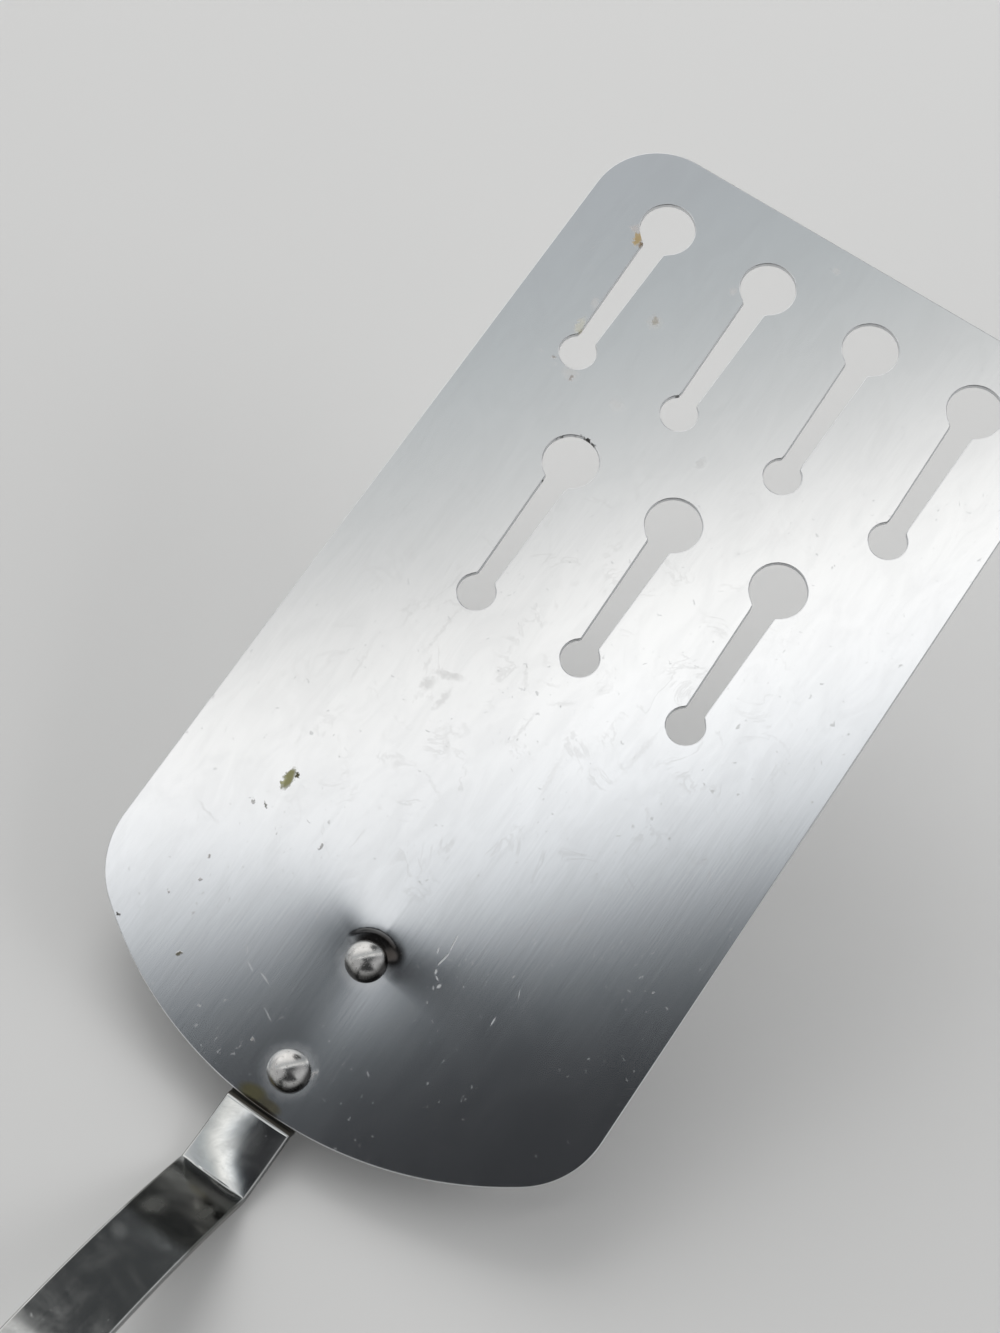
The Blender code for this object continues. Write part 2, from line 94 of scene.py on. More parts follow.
class BladeSettings(bpy.types.PropertyGroup):
    """Sizes and finish of the slotted blade."""
    width: length("Width", "Blade from side to side", 76.2)
    reach: length("Length", "Blade from rear edge to tip", 144.0)
    thickness: length("Thickness", "Sheet thickness", 0.8)
    edge: length("Edge rounding", "Radius of the sheet's worn edges", 0.16)
    tip_corner: length("Tip corner", "Radius of the two tip corners", 10.2)
    rear_arc: length("Rear arc", "Radius of the rear edge", 55.8)
    rear_corner: length("Rear corner", "Radius where rear edge and sides meet", 12.7)
    large_hole: length("Large hole", "Diameter of a slot's front hole", 7.9)
    small_hole: length("Small hole", "Diameter of a slot's rear hole", 5.3)
    hole_spacing: length("Hole spacing", "Between the two holes of a slot", 22.95)
    slot_front: length("Slot front width", "Slot width at the large hole", 3.5)
    slot_rear: length("Slot rear width", "Slot width at the small hole", 2.6)
    slot_pitch: length("Slot pitch", "Between neighbouring slots", 16.95)
    front_row: length("Front row", "Large holes of the front row, ahead of the rear edge", 132.8)
    rear_row: length("Rear row", "Large holes of the rear row, ahead of the rear edge", 95.5)
    front_rivet: length("Front rivet", "Front rivet ahead of the rear edge", 22.95)
    rear_rivet: length("Rear rivet", "Rear rivet ahead of the rear edge", 5.9)
    crease: length("Crease", "Line where the sheet bends over the shank's end", 27.8)
    rear_angle: angle("Rear angle", "Slope of the sheet behind that line", 1.15)
    crease_angle: angle("Crease angle", "Further slope between that line and the front rivet", 1.9)
    recover_angle: angle("Recovery angle", "Slope back up behind the front rivet", 0.45)
    dimple: length("Dimple", "Depth of the sheet around the front rivet", 0.10)
    colour: tint("Colour", "Chrome plate", (0.80, 0.815, 0.83))
    roughness: amount("Roughness", "Satin finish of the clean plate", 0.10)


class ShankSettings(bpy.types.PropertyGroup):
    """Sizes and finish of the bent strip."""
    width: length("Width", "Strip from side to side", 9.85)
    thickness: length("Thickness", "Strip thickness", 1.6)
    edge: length("Edge rounding", "Radius of the strip's edges", 0.3)
    gap: length("Gap", "Room between strip and blade", 0.3)
    end_margin: length("End margin", "Strip ahead of the front rivet", 4.0)
    corner: length("Corner", "Radius of the strip's front corners", 3.0)
    step_drop: length("Step drop", "Strip below the blade's upper face behind the blade", 0.2)
    step_place: length("Step place", "Start of the pressed step behind the blade's rear edge", 0.15)
    step_width: length("Step width", "Run of the pressed step", 1.0)
    step_run: length("Step run", "Strip from the blade's rear edge to the neck", 1.73)
    sink: length("Sink", "Strip drawn down under the blade", 0.28)
    neck: length("Neck", "Stretch between step and bend", 6.7)
    bend_radius: length("Bend radius", "Radius of the bend behind the neck", 3.5)
    bend_angle: angle("Bend angle", "Climb of the strip after the bend", 56.0)
    fold_radius: length("Fold radius", "Radius of the fold that ends the bend", 1.3)
    fold_lead: angle("Fold lead", "Climb of the neck where the fold starts", 12.5)
    crown: length("Crown", "Rise of the neck's middle over its sides", 0.4)
    curve_radius: length("Curve radius", "Radius of the long curve up to the handle", 120.0)
    handle_angle: angle("Handle angle", "Climb of the strip at the handle", 12.0)
    lead: length("Lead", "Straight stretch ahead of the handle", 5.0)
    tang: length("Tang", "Strip inside the handle", 78.0)
    colour: tint("Colour", "Bright chrome plate", (0.70, 0.715, 0.71))
    roughness: amount("Roughness", "Bright finish of the clean plate", 0.07)


class RivetSettings(bpy.types.PropertyGroup):
    """Sizes and finish of the two blade rivets."""
    head: length("Head", "Diameter of the round head", 5.6)
    height: length("Height", "Height of the round head", 2.2)
    pin: length("Pin", "Diameter of the rivet's pin", 3.2)
    tail: length("Tail", "Diameter of the closed end", 5.2)
    tail_height: length("Tail height", "Height of the closed end", 1.0)
    seat_gap: length("Seat gap", "Room between the tail and the strip", 0.3)
    colour: tint("Colour", "Plain steel", (0.66, 0.655, 0.645))
    roughness: amount("Roughness", "Satin finish of the clean steel", 0.21)


class HandleSettings(bpy.types.PropertyGroup):
    """Sizes and finishes of the handle, its rivets and its eyelet."""
    reach: length("Length", "Handle from front to end", 108.0)
    width: length("Width", "Handle at its widest", 24.0)
    height: length("Height", "Handle at its thickest", 15.5)
    front_width: length("Front width", "Handle width at its front", 15.5)
    end_width: length("End width", "Handle width at its end", 21.0)
    swell: length("Swell", "Widest place behind the front", 66.0)
    front_round: length("Front rounding", "Radius of the front edge", 2.2)
    end_round: length("End rounding", "Radius of the end's edge", 5.0)
    squareness: amount("Squareness", "Power of the oval section", 2.4)
    parting: length("Parting line", "Room between the two halves", 0.3)
    rivet_pin: length("Rivet pin", "Diameter of a handle rivet's pin", 4.0)
    rivet_head: length("Rivet head", "Diameter of a handle rivet's head", 8.0)
    rivet_rim: length("Rivet rim", "Height of a head's rim", 0.8)
    rivet_crown: length("Rivet crown", "Rise of a head above its rim", 0.5)
    rivet_sink: length("Rivet sink", "Depth of a head's seat", 1.0)
    front_inset: length("Front rivet", "Front rivet behind the handle's front", 20.0)
    rear_inset: length("Rear rivet", "Rear rivet behind the handle's front", 62.0)
    bore: length("Eyelet bore", "Diameter of the hanging hole", 8.0)
    wall: length("Eyelet wall", "Thickness of the eyelet's tube", 0.8)
    flange: length("Eyelet flange", "Diameter of the eyelet's flanges", 13.5)
    flange_height: length("Flange height", "Thickness of a flange", 0.9)
    eyelet_sink: length("Eyelet sink", "Depth of a flange's seat", 1.4)
    end_inset: length("Eyelet inset", "Eyelet ahead of the handle's end", 14.0)
    seat_gap: length("Seat gap", "Room under heads and flanges", 0.3)
    hole_gap: length("Hole gap", "Room around heads, pins and tubes", 0.2)
    colour: tint("Moulding", "Black moulded plastic", (0.022, 0.021, 0.020))
    roughness: amount("Roughness", "Sheen of the clean moulding", 0.30)
    nickel: tint("Nickel", "Plate of handle rivets and eyelet", (0.70, 0.69, 0.66))
    nickel_roughness: amount("Nickel roughness", "Finish of the clean nickel plate", 0.16)


class StageSettings(bpy.types.PropertyGroup):
    """Camera, floor and light."""
    place: bpy.props.FloatVectorProperty(
        name="Camera place", description="Camera in the blade's axes, from the front row's middle",
        default=(0.05076, -0.13786, 0.29222), subtype='XYZ', unit='LENGTH', size=3, precision=5
    )
    aim: bpy.props.FloatVectorProperty(
        name="Camera aim", description="Middle of the view in the blade's axes, from the front row's middle",
        default=(-0.00823, -0.06724, 0.0), subtype='XYZ', unit='LENGTH', size=3, precision=5
    )
    lean: angle("Lean", "Blade's axis to the right of upright in the view", 35.6)
    field: angle("Field of view", "Camera's view from top to bottom", 32.61)
    floor: tint("Floor", "Plain pale floor", (0.66, 0.66, 0.655))


# Surfaces

# What is kept of a grid cell, by the sum of 1, 2, 4 and 8 for its corners inside. Numbers 0 to 3 are the
# corners of the cell in turn, and 4 to 7 are the cuts on its sides.
CORNER_POLYGONS = {
    1: [(0, 4, 7)],
    2: [(1, 5, 4)],
    3: [(0, 1, 5, 7)],
    4: [(2, 6, 5)],
    5: [(0, 4, 7), (2, 6, 5)],
    6: [(1, 2, 6, 4)],
    7: [(0, 1, 2, 6, 7)],
    8: [(3, 7, 6)],
    9: [(0, 4, 6, 3)],
    10: [(1, 5, 4), (3, 7, 6)],
    11: [(0, 1, 5, 6, 3)],
    12: [(2, 3, 7, 5)],
    13: [(0, 4, 5, 2, 3)],
    14: [(1, 2, 3, 7, 4)],
    15: [(0, 1, 2, 3)],
}
NEAREST = 0.03
EDGE_STEPS = 3
NUDGE = 0.01 * MM
WELD = NUDGE / 10.0
PATTERN_SCALE = 10.0


def numbered(chosen, start):
    """Running numbers where an array is true, from a start, and -1 elsewhere."""
    numbers = np.full(chosen.shape, -1)
    numbers[chosen] = start + np.arange(np.count_nonzero(chosen))
    return numbers


def cut_shares(first, second, cut):
    """Share of each cut grid edge before its cut: f0 / (f0 - f1), kept off the edge's ends."""
    return np.clip(first / np.where(cut, first - second, 1.0), NEAREST, 1.0 - NEAREST)


def region(field, u, v):
    """Part of a grid where a field of its points is above zero, cut along the field's zero line.

    A grid edge whose ends differ in sign is cut at the share f0 / (f0 - f1) of its length. Each cell then
    keeps the polygon of its inner corners and its cuts, chosen by which of its corners lie inside.
    Returns the points as (u, v), the faces by their number of corners, and the cut edges of the faces.
    """
    inside = field > 0.0
    corner = numbered(inside, 0)
    cut_u = inside[1:] != inside[:-1]
    cut_v = inside[:, 1:] != inside[:, :-1]
    on_u = numbered(cut_u, corner.max() + 1)
    on_v = numbered(cut_v, on_u.max() + 1)
    share_u = cut_shares(field[:-1], field[1:], cut_u)
    share_v = cut_shares(field[:, :-1], field[:, 1:], cut_v)
    grid_u, grid_v = np.meshgrid(u, v, indexing='ij')
    along_u = (grid_u[:-1] + share_u * np.diff(grid_u, axis=0), grid_v[:-1])
    along_v = (grid_u[:, :-1], grid_v[:, :-1] + share_v * np.diff(grid_v, axis=1))
    parts = ((grid_u, grid_v, inside), (*along_u, cut_u), (*along_v, cut_v))
    points = np.concatenate([np.stack([a[chosen], b[chosen]], axis=1) for a, b, chosen in parts])

    labels = np.stack([
        corner[:-1, :-1], corner[1:, :-1], corner[1:, 1:], corner[:-1, 1:],
        on_u[:, :-1], on_v[1:], on_u[:, 1:], on_v[:-1],
    ], axis=-1).reshape(-1, 8)
    case = (labels[:, :4] >= 0) @ np.array([1, 2, 4, 8])
    faces, rim = [], []
    for number, polygons in CORNER_POLYGONS.items():
        cells = labels[case == number]
        for polygon in polygons:
            faces.append(cells[:, polygon])
            for here, there in zip(polygon, polygon[1:] + polygon[:1]):
                if here > 3 and there > 3:
                    rim.append(cells[:, (here, there)])
    return points, faces, np.concatenate(rim)


def new_mesh(name, points, faces):
    """Mesh from an array of points and arrays of faces with equal numbers of corners."""
    faces = [block for block in faces if len(block)]
    corners = np.concatenate([block.ravel() for block in faces])
    sizes = np.concatenate([np.full(len(block), block.shape[1]) for block in faces])
    mesh = bpy.data.meshes.new(name)
    mesh.vertices.add(len(points))
    mesh.vertices.foreach_set("co", np.asarray(points, np.float32).ravel())
    mesh.loops.add(len(corners))
    mesh.loops.foreach_set("vertex_index", corners.astype(np.int32))
    mesh.polygons.add(len(sizes))
    mesh.polygons.foreach_set("loop_start", (np.cumsum(sizes) - sizes).astype(np.int32))
    mesh.update(calc_edges=True)
    mesh.shade_smooth()
    return mesh


def new_piece(name, mesh, material, node):
    """Piece that stands for a node of the solid model and moves with it."""
    piece = bpy.data.objects.new(name, mesh)
    bpy.context.scene.collection.objects.link(piece)
    mesh.materials.append(material)
    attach(piece, "root")
    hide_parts(node)


def add_map(mesh, name, flat):
    """UV map from one pair of numbers for each point."""
    layer = mesh.uv_layers.new(name=name)
    corners = np.empty(len(mesh.loops), np.int32)
    mesh.loops.foreach_get("vertex_index", corners)
    layer.data.foreach_set("uv", np.asarray(flat, np.float32)[corners].ravel())


def add_value(mesh, name, values):
    """Named number for each point."""
    mesh.attributes.new(name, 'FLOAT', 'POINT').data.foreach_set("value", np.asarray(values, np.float32))


def axes_at(mount):
    """Origin and axes at a mount: X across, Z along the mount's axis, Y = Z x X."""
    across = np.array([1.0, 0.0, 0.0])
    up = np.array(MOUNTS[mount]["axis"])
    up = up / np.linalg.norm(up)
    return np.array(MOUNTS[mount]["pos_m"]), np.stack([across, np.cross(up, across), up])


def blade_axes():
    """Blade's axes, from the middle of its rear edge on its upper face."""
    origin, axes = axes_at("blade_face")
    return origin - axes[1] * bpy.context.scene.turner_blade.front_row, axes


def handle_axes():
    """Handle's axes, from the middle of its front face: Y points forward and Z out of its upper half."""
    handle = bpy.context.scene.turner_handle
    origin, axes = axes_at("hang_hole")
    return origin + axes[1] * (handle.reach - handle.end_inset), axes


def placed(local, at):
    """Points of an axis frame in the turner's axes."""
    origin, axes = at
    return origin + local @ axes


def unit(vectors):
    """Vectors of length 1 in the same directions."""
    return vectors / np.linalg.norm(vectors, axis=-1, keepdims=True)


def closing(count, border, rim, between, faces):
    """What closes a cut face into a solid: walls around its rim, and an underside that repeats it.

    The points come in rows: the face's own, the given number of rows of rim points, and the underside's.
    Returns the rows of rim points from top to bottom, the underside's first point, and the new faces.
    """
    ring = np.arange(len(border))
    under = count + between * len(border)
    rows = [border, *(count + i * len(border) + ring for i in range(between)), under + border]
    here, there = np.searchsorted(border, rim).T
    walls = [np.stack([a[there], a[here], b[here], b[there]], axis=1) for a, b in zip(rows, rows[1:])]
    return rows, under, [*walls, *(under + block[:, ::-1] for block in faces)]


def sheet(name, field, grid, thickness, edge, place):
    """Closed sheet over the part of a grid where the distance to its outline is positive.

    The flat faces keep back from the outline by the edge radius r. The rim carries a profile around: at the
    turn t it stands out r sin t and lies r (1 - cos t) deep, and on the lower half T - r (1 + cos t) deep.
    place(flat, depth) sets a point of the flat pattern in space.
    """
    flat, faces, rim = region(field(*np.meshgrid(*grid, indexing='ij')) - edge, *grid)
    border = np.unique(rim)
    rim_flat = flat[border]
    step_u, step_v = np.array([NUDGE, 0.0]), np.array([0.0, NUDGE])
    slope = [field(*(rim_flat + step).T) - field(*(rim_flat - step).T) for step in (step_u, step_v)]
    outward = -unit(np.stack(slope, axis=1))
    quarter = np.linspace(0.0, QUARTER, EDGE_STEPS + 1)
    turns = np.concatenate([quarter[1:], math.pi - quarter[:0:-1]])
    depths = np.where(np.arange(2 * EDGE_STEPS) < EDGE_STEPS, 0.0, thickness - 2.0 * edge)
    depths = depths + edge * (1.0 - np.cos(turns))

    def along(points, step):
        """Run of the placed face over a small step of its pattern."""
        return place(points + step, 0.0) - place(points - step, 0.0)

    up = unit(np.cross(along(flat, step_u), along(flat, step_v)))
    side = unit(along(rim_flat, outward * NUDGE))
    pattern, points, normals = [flat], [place(flat, 0.0)], [up]
    for turn, depth in zip(turns, depths):
        pattern.append(rim_flat + outward * edge * math.sin(turn))
        points.append(place(pattern[-1], depth))
        normals.append(math.cos(turn) * up[border] + math.sin(turn) * side)

    rows, _, closed = closing(len(flat), border, rim, len(turns), faces)
    mesh = new_mesh(name, np.concatenate([*points, place(flat, thickness)]), [*faces, *closed])
    add_map(mesh, "pattern", np.concatenate([*pattern, flat]) * PATTERN_SCALE)
    cut = np.zeros(len(mesh.vertices))
    for i in range(1, EDGE_STEPS + 1):
        cut[rows[i]] = i / EDGE_STEPS
        cut[rows[-1 - i]] = i / EDGE_STEPS
    add_value(mesh, "cut_edge", cut)
    add_value(mesh, "upper_face", np.arange(len(mesh.vertices)) < len(flat) + EDGE_STEPS * len(border))
    mesh.normals_split_custom_set_from_vertices(np.concatenate([*normals, -up]))
    return mesh


def turned(name, profile, steps, at, wobble=None):
    """Surface of revolution: the profile (radius, height) goes round the Z axis of a frame.

    A point of the profile at the turn a lies at (r cos a, r sin a, h). A profile that starts and ends on the
    axis is closed by a pole at each end, and any other profile is a closed ring.
    """
    profile = np.asarray(profile)
    poles = abs(profile[0, 0]) < NUDGE and abs(profile[-1, 0]) < NUDGE
    around = np.linspace(0.0, 2.0 * math.pi, steps, endpoint=False)
    body = profile[1:-1] if poles else profile
    radius, turn = np.meshgrid(body[:, 0], around, indexing='ij')
    height = np.repeat(body[:, 1:], steps, axis=1)
    if wobble:
        radius, height = wobble(radius, height, turn)
    points = np.stack([radius * np.cos(turn), radius * np.sin(turn), height], axis=-1).reshape(-1, 3)
    index = np.arange(len(body) * steps).reshape(len(body), steps)
    after = np.roll(index, -1, axis=1)
    if poles:
        faces = [np.stack([index[:-1], index[1:], after[1:], after[:-1]], axis=-1).reshape(-1, 4)]
        top, bottom = len(points), len(points) + 1
        ends = [[0.0, 0.0, profile[0, 1]], [0.0, 0.0, profile[-1, 1]]]
        points = np.concatenate([points, ends])
        faces.append(np.stack([np.full(steps, top), index[0], after[0]], axis=1))
        faces.append(np.stack([np.full(steps, bottom), after[-1], index[-1]], axis=1))
    else:
        below, below_after = np.roll(index, -1, axis=0), np.roll(after, -1, axis=0)
        faces = [np.stack([index, below, below_after, after], axis=-1).reshape(-1, 4)]
    mesh = new_mesh(name, placed(points, at), faces)
    mesh.set_sharp_from_angle(angle=SHARP)
    return mesh


def arc(centre, radius, start, end, count):
    """Points of a circle from one turn to another."""
    turns = np.linspace(start, end, count)
    return np.stack([centre[0] + radius * np.cos(turns), centre[1] + radius * np.sin(turns)], axis=1)


def both_ways(upper):
    """Profile of a fastener that is the same at both ends, from its upper half."""
    return np.concatenate([upper, upper[::-1] * (1.0, -1.0)])


def ball_radius(half, height):
    """Radius of the ball whose cap has a given half width and height."""
    return (half ** 2 + height ** 2) / (2.0 * height)


def corner_distance(x, y):
    """Distance out of a square corner at (0, 0), rounded outside it."""
    return np.where((x > 0) & (y > 0), np.hypot(x, y), np.maximum(x, y))


def grid_lines(low, high, step, dense):
    """Lines across a pattern at an even step, a step past both ends, and closer in dense stretches."""
    lines = np.arange(low - step, high + 1.5 * step, step)
    for start, end, fine in dense:
        lines = lines[(lines < start - fine / 2.0) | (lines > end + fine / 2.0)]
        lines = np.concatenate([lines, np.arange(start, end + fine / 2.0, fine)])
    return np.sort(lines)


# Blade

SHEET_STEP = 0.6 * MM
DENT_STEP = 0.2 * MM
DENT_ROOM = 5.6 * MM
FRONT_SLOTS = 4
REAR_SLOTS = 3
HOLE_ROOM = 0.2 * MM
CREASE_SHARP = 0.8 * MM
CREASE_SPREAD = 0.40
CREASE_REACH = 6.5 * MM
RECOVERY = 10.0 * MM
DENT_RADIUS = 4.4 * MM
DENT_WALL = 0.7 * MM
DENT_TURN = 97.0 * DEGREE
DENT_SPREAD = (24.0 * DEGREE, 66.0 * DEGREE)
RIDGE_RADIUS = 8.0 * MM
RIDGE_SHARE = 0.83
RIDGE_TURN = 75.0 * DEGREE
RIDGE_SPREAD = (30.0 * DEGREE, 84.0 * DEGREE)


def slot_distance(x, y, blade):
    """Distance out of a keyhole slot at (0, 0): two discs, and between them a cut |x| < w(y) that tapers."""
    share = np.clip(-y / blade.hole_spacing, 0.0, 1.0)
    half = (blade.slot_front + (blade.slot_rear - blade.slot_front) * share) / 2.0
    cut = np.maximum(np.abs(x) - half, np.maximum(y, -blade.hole_spacing - y))
    large = np.hypot(x, y) - blade.large_hole / 2.0
    small = np.hypot(x, y + blade.hole_spacing) - blade.small_hole / 2.0
    return np.minimum(cut, np.minimum(large, small))


def blade_outline_distance(x, y, blade):
    """Distance into the blade's outline: a corner's radius less the distance to the outline drawn in."""
    side = np.abs(x)
    half = blade.width / 2.0
    tip_x, tip_y = side - (half - blade.tip_corner), y - (blade.reach - blade.tip_corner)
    tip = blade.tip_corner - corner_distance(tip_x, tip_y)
    reach = blade.rear_arc - blade.rear_corner
    across = half - blade.rear_corner
    corner_y = blade.rear_arc - math.sqrt(reach ** 2 - across ** 2)
    from_x, from_y = side - across, y - corner_y
    lean = across / (corner_y - blade.rear_arc)
    at_corner = (from_y < 0.0) & (from_x > from_y * lean)
    arc_part = np.where(y < blade.rear_arc, np.hypot(x, y - blade.rear_arc) - reach, -reach)
    rear = blade.rear_corner - np.where(at_corner, np.hypot(from_x, from_y), np.maximum(from_x, arc_part))
    return np.minimum(tip, rear)


def blade_distance(x, y):
    """Distance into the blade's material: the least of the outline's, the slots' and the rivet holes'."""
    blade = bpy.context.scene.turner_blade
    hole = bpy.context.scene.turner_rivets.pin / 2.0 + HOLE_ROOM
    nearest = blade_outline_distance(x, y, blade)
    for count, row in ((FRONT_SLOTS, blade.front_row), (REAR_SLOTS, blade.rear_row)):
        for i in range(count):
            middle = (i - (count - 1) / 2.0) * blade.slot_pitch
            nearest = np.minimum(nearest, slot_distance(x - middle, y - row, blade))
    for row in (blade.front_rivet, blade.rear_rivet):
        nearest = np.minimum(nearest, np.hypot(x, y - row) - hole)
    return nearest


def soft_ramp(distance, width):
    """Ramp that leaves zero smoothly: half of d + sqrt(d^2 + w^2)."""
    return (distance + np.sqrt(distance ** 2 + width ** 2)) / 2.0


def soft_step(value):
    """Smooth step from 0 to 1: 3 s^2 - 2 s^3."""
    share = np.clip(value, 0.0, 1.0)
    return share * share * (3.0 - 2.0 * share)


def facing(x, y, turn, spread):
    """Share of a direction near a given turn: 1 within the spread's first angle, 0 past its second."""
    full, none = math.cos(spread[0]), math.cos(spread[1])
    lean = (x * math.cos(turn) + y * math.sin(turn)) / np.maximum(np.hypot(x, y), NUDGE)
    return soft_step((lean - none) / (full - none))


def blade_height(x, y):
    """Height of the blade's face over its plane.

    The sheet turns down behind a crease across it, sharp over the shank and softer towards the sides. Over
    the shank it turns down further as far as the front rivet and comes back up behind it. Around that rivet
    it is drawn in, with a steep wall on the tip side and a low ridge ahead of that wall.
    """
    blade = bpy.context.scene.turner_blade
    width = CREASE_SHARP + CREASE_SPREAD * np.abs(x)
    behind = soft_ramp(blade.crease - y, width)
    past = soft_ramp(blade.front_rivet - y, width)
    level = soft_ramp(blade.front_rivet - RECOVERY - y, RECOVERY / 2.0)
    share = 1.0 / (1.0 + (x / CREASE_REACH) ** 2)
    dip = math.tan(blade.crease_angle) * (behind - past) - math.tan(blade.recover_angle) * (past - level)
    bend = -math.tan(blade.rear_angle) * behind - share * dip
    from_y = y - blade.front_rivet
    away = np.hypot(x, from_y)
    wall = soft_step((DENT_RADIUS - away) / DENT_WALL) * facing(x, from_y, DENT_TURN, DENT_SPREAD)
    ridge = np.exp(-np.maximum(away - DENT_RADIUS, 0.0) / RIDGE_RADIUS)
    ridge = ridge * soft_step(away / DENT_RADIUS) * facing(x, from_y, RIDGE_TURN, RIDGE_SPREAD)
    return bend + blade.dimple * (RIDGE_SHARE * ridge - wall)


def blade_place(flat, depth):
    """Point of the blade's flat pattern on the formed sheet, a depth below its upper face."""
    x, y = flat.T
    return placed(np.stack([x, y, blade_height(x, y) - depth], axis=1), blade_axes())


class TURNER_OT_blade(bpy.types.Operator):
    """Blade: a thin sheet with seven keyhole slots, worn edges and a dent around its front rivet"""
    bl_idname = "turner.blade"
    bl_label = "Blade"

    def execute(self, context):
        blade = context.scene.turner_blade
        half = blade.width / 2.0
        front = blade.front_rivet
        grid = (
            grid_lines(-half, half, SHEET_STEP, [(-DENT_ROOM, DENT_ROOM, DENT_STEP)]),
            grid_lines(0.0, blade.reach, SHEET_STEP, [(front - DENT_ROOM, front + DENT_ROOM, DENT_STEP)]),
        )
        mesh = sheet("blade_sheet", blade_distance, grid, blade.thickness, blade.edge, blade_place)
        new_piece("blade_sheet", mesh, satin_chrome(blade), "blade")
        return {'FINISHED'}


# Shank

STRIP_STEPS = (0.41 * MM, 0.5 * MM)
STEP_FINE = 0.05 * MM
STEP_ROOM = 0.1 * MM
FOLD_FINE = 0.1 * MM
FOLD_ROOM = (1.6 * MM, 1.0 * MM)
STEP_POWER = 2.2
LINE_POINTS = 6000
LEAD_POINTS = 9
CROWN_FADE = 1.2 * MM
CROWN_LEVEL = 0.5


def shank_climb(shank, blade):
    """Knots of the strip's climb by its run from the front end, which is straight between them.

    The neck eases in with the square of its run up to the fold, and a tight fold and a straight piece then
    bring the strip to the place and climb that a plain bend of the given radius would reach. Over the easing
    the mean cosine of the climb is 1 - lead^2 / 10 and the mean sine lead / 3 - lead^3 / 42.
    """
    lead, climb, fold = shank.fold_lead, shank.bend_angle, shank.fold_radius
    back = shank.neck + shank.bend_radius * math.sin(climb) - fold * (math.sin(climb) - math.sin(lead))
    rise = shank.bend_radius * (1.0 - math.cos(climb)) - fold * (math.cos(lead) - math.cos(climb))
    back_share = 1.0 - lead ** 2 / 10.0
    rise_share = lead / 3.0 - lead ** 3 / 42.0
    ease = (back * math.tan(climb) - rise) / (back_share * math.tan(climb) - rise_share)
    rest = (rise - ease * rise_share) / math.sin(climb)
    share = np.linspace(0.0, 1.0, LEAD_POINTS)
    run = [0.0, *(blade.front_rivet + shank.end_margin + shank.step_run + ease * share)]
    knots = [0.0, *(lead * share ** 2)]
    curve = shank.curve_radius * (climb - shank.handle_angle)
    for piece, after in (
        (fold * (climb - lead), climb), (rest, climb), (curve, shank.handle_angle),
        (shank.lead + shank.tang, shank.handle_angle),
    ):
        run.append(run[-1] + piece)
        knots.append(after)
    return np.array(run), np.array(knots)


def shank_line(run, shank, blade):
    """Middle line of the strip by its run from the front end: (y, z, climb) in the blade's axes.

    y falls by the sum of cos(climb) along the run and z grows by the sum of sin(climb). The pressed step
    lifts the strip behind the blade without turning it, steeply at first and with a rounded top, by
    1 - (1 - s)^n.
    """
    places, knots = shank_climb(shank, blade)
    fine = np.linspace(0.0, places[-1], LINE_POINTS)
    climb = np.interp(fine, places, knots)
    step = fine[1]
    middle = (climb[1:] + climb[:-1]) / 2.0
    back = np.concatenate([[0.0], np.cumsum(np.cos(middle))]) * step
    rise = np.concatenate([[0.0], np.cumsum(np.sin(middle))]) * step
    y = blade.front_rivet + shank.end_margin - np.interp(run, fine, back)
    under = -blade.thickness - shank.gap - shank.thickness / 2.0
    lift = 1.0 - (1.0 - np.clip(-(y + shank.step_place) / shank.step_width, 0.0, 1.0)) ** STEP_POWER
    low = under - shank.sink
    high = -shank.step_drop - shank.thickness / 2.0
    z = low + (high - low) * lift + np.interp(run, fine, rise)
    overrun = run - np.clip(run, 0.0, places[-1])
    return y - overrun, z, np.interp(run, fine, climb)


def shank_distance(x, y):
    """Distance into the strip's flat pattern: a bar with two rounded corners, less its holes.

    The pattern's y falls from the front end.
    """
    scene = bpy.context.scene
    shank, blade, handle = scene.turner_shank, scene.turner_blade, scene.turner_handle
    front = blade.front_rivet + shank.end_margin
    rear = front - shank_climb(shank, blade)[0][-1]
    side = np.abs(x) - (shank.width / 2.0 - shank.corner)
    ahead = y - (front - shank.corner)
    nearest = np.minimum(shank.corner - corner_distance(side, ahead), y - rear)
    tang_front = rear + shank.tang
    holes = (
        (blade.front_rivet, scene.turner_rivets.pin),
        (blade.rear_rivet, scene.turner_rivets.pin),
        (tang_front - handle.front_inset, handle.rivet_pin),
        (tang_front - handle.rear_inset, handle.rivet_pin),
    )
    for row, pin in holes:
        nearest = np.minimum(nearest, np.hypot(x, y - row) - pin / 2.0 - HOLE_ROOM)
    return nearest


def shank_place(flat, depth):
    """Point of the strip's flat pattern on the bent strip, a depth below its upper face.

    The neck is arched across: it stands up in its middle and falls away with the square of the distance.
    """
    scene = bpy.context.scene
    shank, blade = scene.turner_shank, scene.turner_blade
    x, pattern_y = flat.T
    run = blade.front_rivet + shank.end_margin - pattern_y
    y, z, climb = shank_line(run, shank, blade)
    fold = shank_climb(shank, blade)[0][LEAD_POINTS]
    past_step = soft_step(-(y + shank.step_place) / shank.step_width)
    on_neck = past_step * soft_step((fold + CROWN_FADE - run) / CROWN_FADE)
    sag = shank.crown * on_neck * ((2.0 * x / shank.width) ** 2 - CROWN_LEVEL)
    out = shank.thickness / 2.0 - depth - sag
    return placed(np.stack([x, y + out * np.sin(climb), z + out * np.cos(climb)], axis=1), blade_axes())


